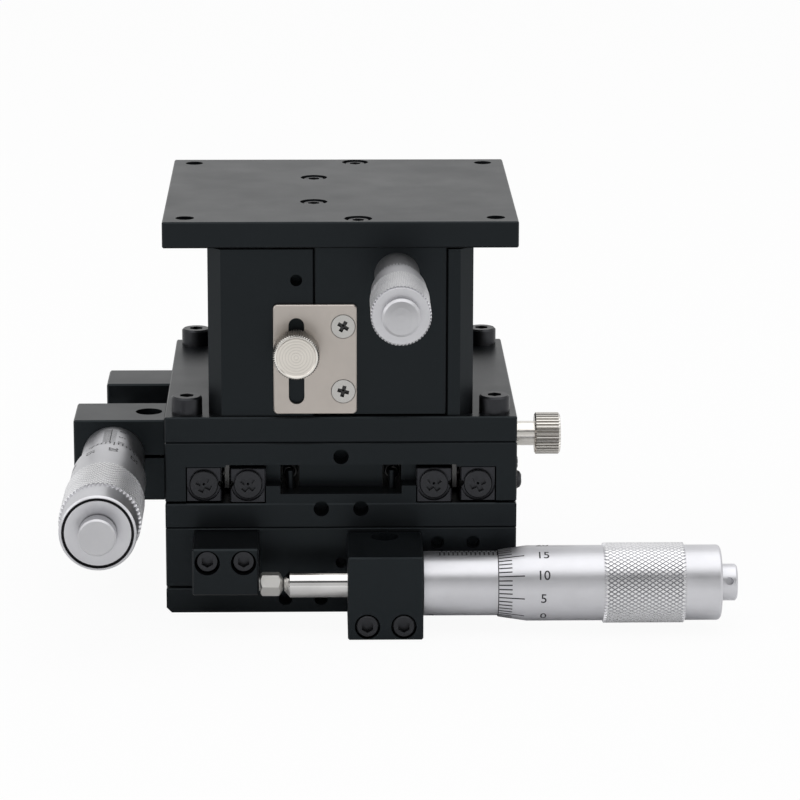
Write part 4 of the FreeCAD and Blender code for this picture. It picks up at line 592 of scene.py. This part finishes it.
def large_thimble(prefix, spot, length, material):
    """Bevelled thimble: knurled band, rounded end, an engraved ring and a dished face."""
    face = length - FACE_STEP
    ring_floor = length - RING_DEPTH
    dish_floor = length - DISH_DEPTH
    inner_wall = length - END_WALL
    front = [(0.0, THIMBLE_BORE), (0.0, THIMBLE_EDGE - EDGE_BREAK), (EDGE_BREAK, THIMBLE_EDGE),
             (BEVEL, THIMBLE_RADIUS), (KNURL_START, THIMBLE_RADIUS)]
    end = [(KNURL_END, THIMBLE_RADIUS)]
    end += [(length - behind, THIMBLE_RADIUS - inside) for behind, inside in END_ROUNDING]
    end += [(length, RING_OUTER + END_CHAMFER), (length - RING_BREAK, RING_OUTER),
            (ring_floor, RING_OUTER - RING_TAPER), (ring_floor, RING_INNER + RING_TAPER),
            (face - RING_BREAK, RING_INNER), (face, RING_INNER - 2 * RING_BREAK),
            (dish_floor, DISH_RADIUS), (dish_floor, TAIL_BORE), (inner_wall, TAIL_BORE),
            (inner_wall, THIMBLE_BORE)]
    shell = revolve(spot, front + end, 2 * KNURL_AROUND, gap=len(front) - 1)
    knurl = diamond_knurl(spot, KNURL_START, KNURL_END, KNURL_VALLEY, KNURL_CREST,
                          THIMBLE_RADIUS, KNURL_AROUND, KNURL_PITCH)
    node = prefix + "_thimble"
    piece = add_piece(node + "_body", join_parts([shell, knurl]), material, node)
    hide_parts(node)
    # painted shade on the knurl's flanks, painted highlight on its tops
    shade_knurl(piece, spot, KNURL_FLANK_SHADE, KNURL_START, KNURL_END, THIMBLE_RADIUS, KNURL_CREST)
    # painted shadow on the edge bevel where the thimble meets the sleeve
    shade_faces(piece, spot, RING_SHADE, 0.0, EDGE_BREAK, THIMBLE_EDGE - EDGE_BREAK,
                THIMBLE_EDGE)
    # painted shade in the groove of the engraved ring
    shade_faces(piece, spot, RING_SHADE, ring_floor - SHADE_MARGIN, face,
                RING_INNER - SHADE_MARGIN, RING_OUTER + SHADE_MARGIN)


def division_angle(division, reading):
    """Degrees of a division when 'reading' stands on top."""
    return TOP + 360 / DIVISIONS * (division - reading)


def add_divisions(node, spot, edge, slope, major_end, minor_end, reading, width):
    """Lines on a thimble's bevel, which rises from 'edge'; every fifth one is longer."""
    lines = []
    for division in range(DIVISIONS):
        end = major_end if division % 5 == 0 else minor_end
        lines.append(line_along(spot, LINE_START, end, edge + slope * LINE_START,
                                edge + slope * end, division_angle(division, reading), width))
    add_piece(node + "_divisions", join_parts(lines), INK, node, spot)


def thimble_scale(prefix, spot):
    """Fifty divisions on the bevel, and a number behind every fifth one."""
    node = prefix + "_thimble"
    slope = (THIMBLE_RADIUS - THIMBLE_EDGE) / BEVEL
    add_divisions(node, spot, THIMBLE_EDGE, slope, MAJOR_LINE_END, MINOR_LINE_END,
                  DATUM_READING, THIMBLE_LINE)
    numbers = [wrapped_number(spot, str(division), NUMBER_HEIGHT, NUMBER_PLACE, THIMBLE_RADIUS,
                              division_angle(division, DATUM_READING))
               for division in range(0, DIVISIONS, 5)]
    add_piece(node + "_numbers", join_parts(numbers), INK, node, spot)


def sleeve_scale(prefix, spot, length):
    """Datum line on top, millimetres on the near side, half millimetres on the far side."""
    radius = SLEEVE_RADIUS
    lines = [line_along(spot, SCALE_START - DATUM_BEFORE_SCALE, length - DATUM_END_MARGIN,
                        radius, radius, TOP, DATUM_LINE)]
    numbers = []
    for mark in range(SCALE_MARKS + 1):
        place = SCALE_START + mark * MM
        lines.append(line_around(spot, place, radius, WHOLE_LINE_FROM, TOP, WHOLE_LINE))
        lines.append(line_around(spot, place + 0.5 * MM, radius, TOP, HALF_LINE_TO, HALF_LINE))
        if mark % 5 == 0:
            numbers.append(wrapped_number(spot, str(mark), SLEEVE_NUMBER_HEIGHT, place, radius,
                                          SLEEVE_NUMBER_ANGLE))
    node = prefix + "_sleeve"
    body = body_with(node)
    add_piece(node + "_divisions", join_parts(lines), INK, body, spot)
    add_piece(node + "_numbers", join_parts(numbers), INK, body, spot)
    # painted shade: a flat black disc stands for the hole for the sleeve's adjusting key
    hole = []
    for step in range(KEY_HOLE_STEPS):
        turn = 2 * math.pi * step / KEY_HOLE_STEPS
        across = math.degrees(KEY_HOLE_RADIUS * math.sin(turn) / radius)
        hole.append(spot.at(KEY_HOLE_PLACE + KEY_HOLE_RADIUS * math.cos(turn),
                            radius + INK_LIFT, KEY_HOLE_ANGLE + across))
    add_piece(node + "_key_hole_painted_shade", (hole, [tuple(range(KEY_HOLE_STEPS))]), INK, body, spot)


def large_micrometer(prefix, along, side, material):
    """Thimble and scales; the sleeve's scale is placed from the bracket's outer face."""
    spot, length = spot_on(prefix + "_thimble", along, side)
    large_thimble(prefix, spot, length, material)
    thimble_scale(prefix, spot)
    sleeve, sleeve_length = spot_on(prefix + "_sleeve", along, side)
    face = max(corner.dot(sleeve.along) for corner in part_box(prefix + "_bracket"))
    stem = face - sleeve.origin.dot(sleeve.along)
    barrel = Spot(sleeve.origin + sleeve.along * stem, along, side)
    sleeve_scale(prefix, barrel, sleeve_length - stem)


large_micrometer("x", (1, 0, 0), (0, -1, 0), CHROME_X)
large_micrometer("y", (0, -1, 0), (-1, 0, 0), CHROME_Y)


# ---------------------------------------------------------------- the small micrometer
SMALL_EDGE = 5.65 * MM          # radii of the thimble: thin edge, body and bores
SMALL_RADIUS = 6.2 * MM
SMALL_BORE = 5.2 * MM
SMALL_TAIL_BORE = 1.55 * MM
SMALL_BEVEL = 5.0 * MM
SMALL_BREAK = 0.05 * MM
SMALL_KNURL_START = 12.5 * MM
SMALL_KNURL_CREST = 6.54 * MM
SMALL_KNURL_VALLEY = 6.26 * MM
SMALL_KNURL_AROUND = 52
SMALL_KNURL_PITCH = 1.25 * MM
SMALL_MAJOR_LINE_END = 3.6 * MM
SMALL_MINOR_LINE_END = 2.2 * MM
SMALL_LINE = 0.15 * MM


def small_thimble():
    """Short plain band with fifty divisions, then a diamond knurl up to the flat end."""
    node = "z_thimble"
    spot, length = spot_on(node, (0, -1, 0), (-1, 0, 0))
    knurl_end = length - SMALL_BREAK
    inner_wall = length - END_WALL
    front = [(0.0, SMALL_BORE), (0.0, SMALL_EDGE), (SMALL_BEVEL, SMALL_RADIUS),
             (SMALL_KNURL_START, SMALL_RADIUS)]
    end = [(knurl_end, SMALL_RADIUS), (length, SMALL_RADIUS - SMALL_BREAK),
           (length, SMALL_TAIL_BORE), (inner_wall, SMALL_TAIL_BORE), (inner_wall, SMALL_BORE)]
    shell = revolve(spot, front + end, 2 * SMALL_KNURL_AROUND, gap=len(front) - 1)
    knurl = diamond_knurl(spot, SMALL_KNURL_START, knurl_end, SMALL_KNURL_VALLEY,
                          SMALL_KNURL_CREST, SMALL_RADIUS, SMALL_KNURL_AROUND,
                          SMALL_KNURL_PITCH)
    piece = add_piece(node + "_body", join_parts([shell, knurl]), CHROME_Y, node)
    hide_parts(node)
    # painted shade on the knurl's flanks, painted highlight on its tops
    shade_knurl(piece, spot, SMALL_KNURL_FLANK, SMALL_KNURL_START, knurl_end - SMALL_BREAK,
                SMALL_RADIUS, SMALL_KNURL_CREST)
    slope = (SMALL_RADIUS - SMALL_EDGE) / SMALL_BEVEL
    add_divisions(node, spot, SMALL_EDGE, slope, SMALL_MAJOR_LINE_END, SMALL_MINOR_LINE_END, 0,
                  SMALL_LINE)


small_thimble()


# ---------------------------------------------------------------- thumbscrew knobs
THREAD_CHAMFER = 0.3 * MM
KNOB_CHAMFER = 0.3 * MM         # of the knob's inner edge, along the axis
KNOB_CHAMFER_DROP = 0.5 * MM    # and towards the axis
KNOB_END = 0.45 * MM            # length from the end where the outer edge gets smaller
KNOB_SHOULDER = 0.1 * MM        # length from the end to the shoulder round the rim
KNOB_SHOULDER_DROP = 0.42 * MM  # from the knob's radius to the shoulder's
GROOVE_DEPTH = 0.35 * MM
RIM_DROP = 0.75 * MM            # from the knob's radius to the rim's inner edge
RIM_WIDTH = 0.1 * MM
FACE_DEPTH = 0.2 * MM           # of the turned face beside the rim
FACE_MIDDLE_DEPTH = 0.12 * MM   # of the turned face in its middle
FACE_SLOPE = 0.22 * MM          # width of the slope from the rim to the face
FLAT_TOOTH = (0.0, 0.0, 1.0, 1.0)       # groove depth round one tooth, as shares
SHARP_TOOTH = (0.0, 1.0)
# Thread radius and length, neck radius and length, number of teeth and their outline.
SIDE_LOCK = (2.0 * MM, 5.0 * MM, 2.9 * MM, 4.9 * MM, 36, FLAT_TOOTH)
FRONT_LOCK = (1.65 * MM, 7.0 * MM, 2.5 * MM, 2.0 * MM, 60, SHARP_TOOTH)


def thumbscrew(node, along, side, sizes):
    """Thumbscrew with a straight-knurled knob and a rim round its turned face."""
    thread, seat, neck, neck_length, teeth, tooth = sizes
    spot, length = spot_on(node, along, side)
    low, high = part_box(node)
    knob = min(high[i] - low[i] for i in range(3) if along[i] == 0) / 2
    start = seat + neck_length
    knurl_start = start + KNOB_CHAMFER
    rim = knob - RIM_DROP
    # Each point has its place along the axis, its radius and the depth of the grooves there.
    profile = [(0.0, 0.0, 0.0), (0.0, thread - THREAD_CHAMFER, 0.0),
               (THREAD_CHAMFER, thread, 0.0), (seat, thread, 0.0), (seat, neck, 0.0),
               (start, neck, 0.0), (start, knob - KNOB_CHAMFER_DROP, 0.0),
               (knurl_start, knob, GROOVE_DEPTH), (length - KNOB_END, knob, GROOVE_DEPTH),
               (length - KNOB_SHOULDER, knob - KNOB_SHOULDER_DROP, 0.0),
               (length, rim + RIM_WIDTH, 0.0), (length, rim, 0.0),
               (length - FACE_DEPTH, rim - FACE_SLOPE, 0.0),
               (length - FACE_MIDDLE_DEPTH, 0.0, 0.0)]
    steps = teeth * len(tooth)
    vertices = []
    faces = []
    for step in range(steps):
        for s, r, depth in profile:
            cut = depth * tooth[step % len(tooth)]
            vertices.append(spot.at(s, r - cut, 360 * step / steps))
    count = len(profile)
    for step in range(steps):
        here = step * count
        there = (step + 1) % steps * count
        for i in range(count - 1):
            faces.append((here + i, here + i + 1, there + i + 1, there + i))
    piece = add_piece(node + "_knob", (vertices, faces), NICKEL_BRIGHT, body_with(node))
    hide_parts(node)
    turned = turned_face(node + "_face", (low + high) / 2, along)
    shade_faces(piece, spot, turned, length - FACE_DEPTH - SHADE_MARGIN, length + SHADE_MARGIN,
                -SHADE_MARGIN, rim)
    # painted shade in the grooves between the knob's teeth
    shade_faces(piece, spot, NICKEL_GROOVE_SHADE, knurl_start, length - KNOB_CHAMFER,
                knob - 2 * GROOVE_DEPTH, knob - GROOVE_DEPTH / 3)


thumbscrew("x_lock_screw", (0, 1, 0), (1, 0, 0), SIDE_LOCK)
thumbscrew("y_lock_screw", (1, 0, 0), (0, -1, 0), SIDE_LOCK)
thumbscrew("z_lock_screw", (0, -1, 0), (-1, 0, 0), FRONT_LOCK)


# ---------------------------------------------------------------- studio
FLOOR_HALF = 4.0
FLOOR_DROP = 0.1 * MM           # keeps the floor clear of the object's underside
FLOOR_COLOUR = (0.82, 0.82, 0.82, 1)
FLOOR_WHITE = 0.94              # share of plain white in what the camera sees of the floor
# The bright sweep grows between these values of a direction's share towards the back, +Y.
SWEEP_START = -0.3
SWEEP_END = 0.75
# A direction's share upward, +Z, and how bright the room is there.
ROOM_LEVELS = ((0.0, 0.72), (0.4, 0.72), (0.48, 0.03), (0.6, 0.03), (0.68, 0.9))
SOFTBOX_AIM = Vector((0, 0, 0.045))     # about the middle of the object
SOFTBOXES = (                           # name, place, width and height, watts
    ("overhead", (0.1, -0.15, 1.1), (1.6, 1.4), 5.0),
    ("left", (-1.0, -0.5, 0.6), (0.7, 0.9), 2.4),
    ("right", (1.0, -0.6, 0.5), (0.7, 0.9), 1.6))
CAMERA_PLACE = (-0.0048, -0.86825, 0.25226)
CAMERA_LENS = 169.55            # millimetres, before a sensor 36 mm wide
CAMERA_DOWN = 13.723            # degrees
CAMERA_YAW = -1.2575
CAMERA_ROLL = 0.1075


def camera_ray(tree):
    return tree.nodes.new("ShaderNodeLightPath").outputs["Is Camera Ray"]


def mixed(tree, share, first, second):
    mix = tree.nodes.new("ShaderNodeMixShader")
    fill(tree, mix, (share, first, second))
    return mix.outputs["Shader"]


def floor_material():
    """Diffuse floor that catches shadows and looks nearly white to the camera."""
    material = bpy.data.materials.new("pale_floor")
    material.use_nodes = True
    tree = material.node_tree
    tree.nodes.clear()
    output = tree.nodes.new("ShaderNodeOutputMaterial")
    diffuse = tree.nodes.new("ShaderNodeBsdfDiffuse")
    diffuse.inputs["Color"].default_value = FLOOR_COLOUR
    glow = tree.nodes.new("ShaderNodeEmission")
    glow.inputs["Strength"].default_value = 1.0
    share = maths(tree, "MULTIPLY", camera_ray(tree), FLOOR_WHITE)
    surface = mixed(tree, share, diffuse.outputs["BSDF"], glow.outputs["Emission"])
    tree.links.new(surface, output.inputs["Surface"])
    return material


def add_floor():
    mesh = bpy.data.meshes.new("floor")
    signs = ((-1, -1), (1, -1), (1, 1), (-1, 1))
    corners = [(FLOOR_HALF * x, FLOOR_HALF * y, 0) for x, y in signs]
    mesh.from_pydata(corners, [], [(0, 1, 2, 3)])
    mesh.materials.append(floor_material())
    floor = bpy.data.objects.new("floor", mesh)
    floor.location.z = -FLOOR_DROP
    bpy.context.scene.collection.objects.link(floor)


def add_world():
    """White for the camera; reflected are a bright sweep behind and, in front, a dim room
    with a dark band between its lower part and the ceiling."""
    world = bpy.data.worlds.new("studio")
    bpy.context.scene.world = world
    world.use_nodes = True
    tree = world.node_tree
    tree.nodes.clear()
    output = tree.nodes.new("ShaderNodeOutputWorld")
    white = tree.nodes.new("ShaderNodeBackground")
    white.inputs["Color"].default_value = (1, 1, 1, 1)
    room = tree.nodes.new("ShaderNodeBackground")
    direction = tree.nodes.new("ShaderNodeTexCoord")
    split = tree.nodes.new("ShaderNodeSeparateXYZ")
    tree.links.new(direction.outputs["Generated"], split.inputs["Vector"])
    behind = spread(tree, split.outputs["Y"], 0.0, 1.0, SWEEP_START, SWEEP_END)
    behind.node.interpolation_type = "SMOOTHSTEP"
    front = ramp(tree, split.outputs["Z"],
                 [(height, [level] * 3) for height, level in ROOM_LEVELS])
    darker = maths(tree, "SUBTRACT", 1.0, front)
    blend = maths(tree, "MULTIPLY_ADD", darker, behind, front)
    tree.links.new(blend, room.inputs["Strength"])
    surface = mixed(tree, camera_ray(tree), room.outputs["Background"],
                    white.outputs["Background"])
    tree.links.new(surface, output.inputs["Surface"])


def add_softbox(name, place, size, power):
    lamp = bpy.data.lights.new(name, "AREA")
    lamp.shape = "RECTANGLE"
    lamp.size, lamp.size_y = size
    lamp.energy = power
    holder = bpy.data.objects.new(name, lamp)
    holder.location = place
    aim = SOFTBOX_AIM - Vector(place)
    holder.rotation_euler = aim.to_track_quat("-Z", "Y").to_euler()
    bpy.context.scene.collection.objects.link(holder)


def add_camera():
    """Long lens at the front, looking down a little over 13 degrees."""
    lens = bpy.data.cameras.new("camera")
    lens.sensor_width = 36.0
    lens.lens = CAMERA_LENS
    lens.clip_start = 0.01
    lens.clip_end = 20.0
    camera = bpy.data.objects.new("camera", lens)
    yaw = Matrix.Rotation(math.radians(CAMERA_YAW), 4, "Z")
    pitch = Matrix.Rotation(math.radians(90 - CAMERA_DOWN), 4, "X")
    roll = Matrix.Rotation(math.radians(CAMERA_ROLL), 4, "Z")
    camera.matrix_world = Matrix.Translation(CAMERA_PLACE) @ yaw @ pitch @ roll
    bpy.context.scene.collection.objects.link(camera)
    bpy.context.scene.camera = camera


add_floor()
add_world()
for softbox in SOFTBOXES:
    add_softbox(*softbox)
add_camera()

scene = bpy.context.scene
scene.view_settings.view_transform = "Standard"
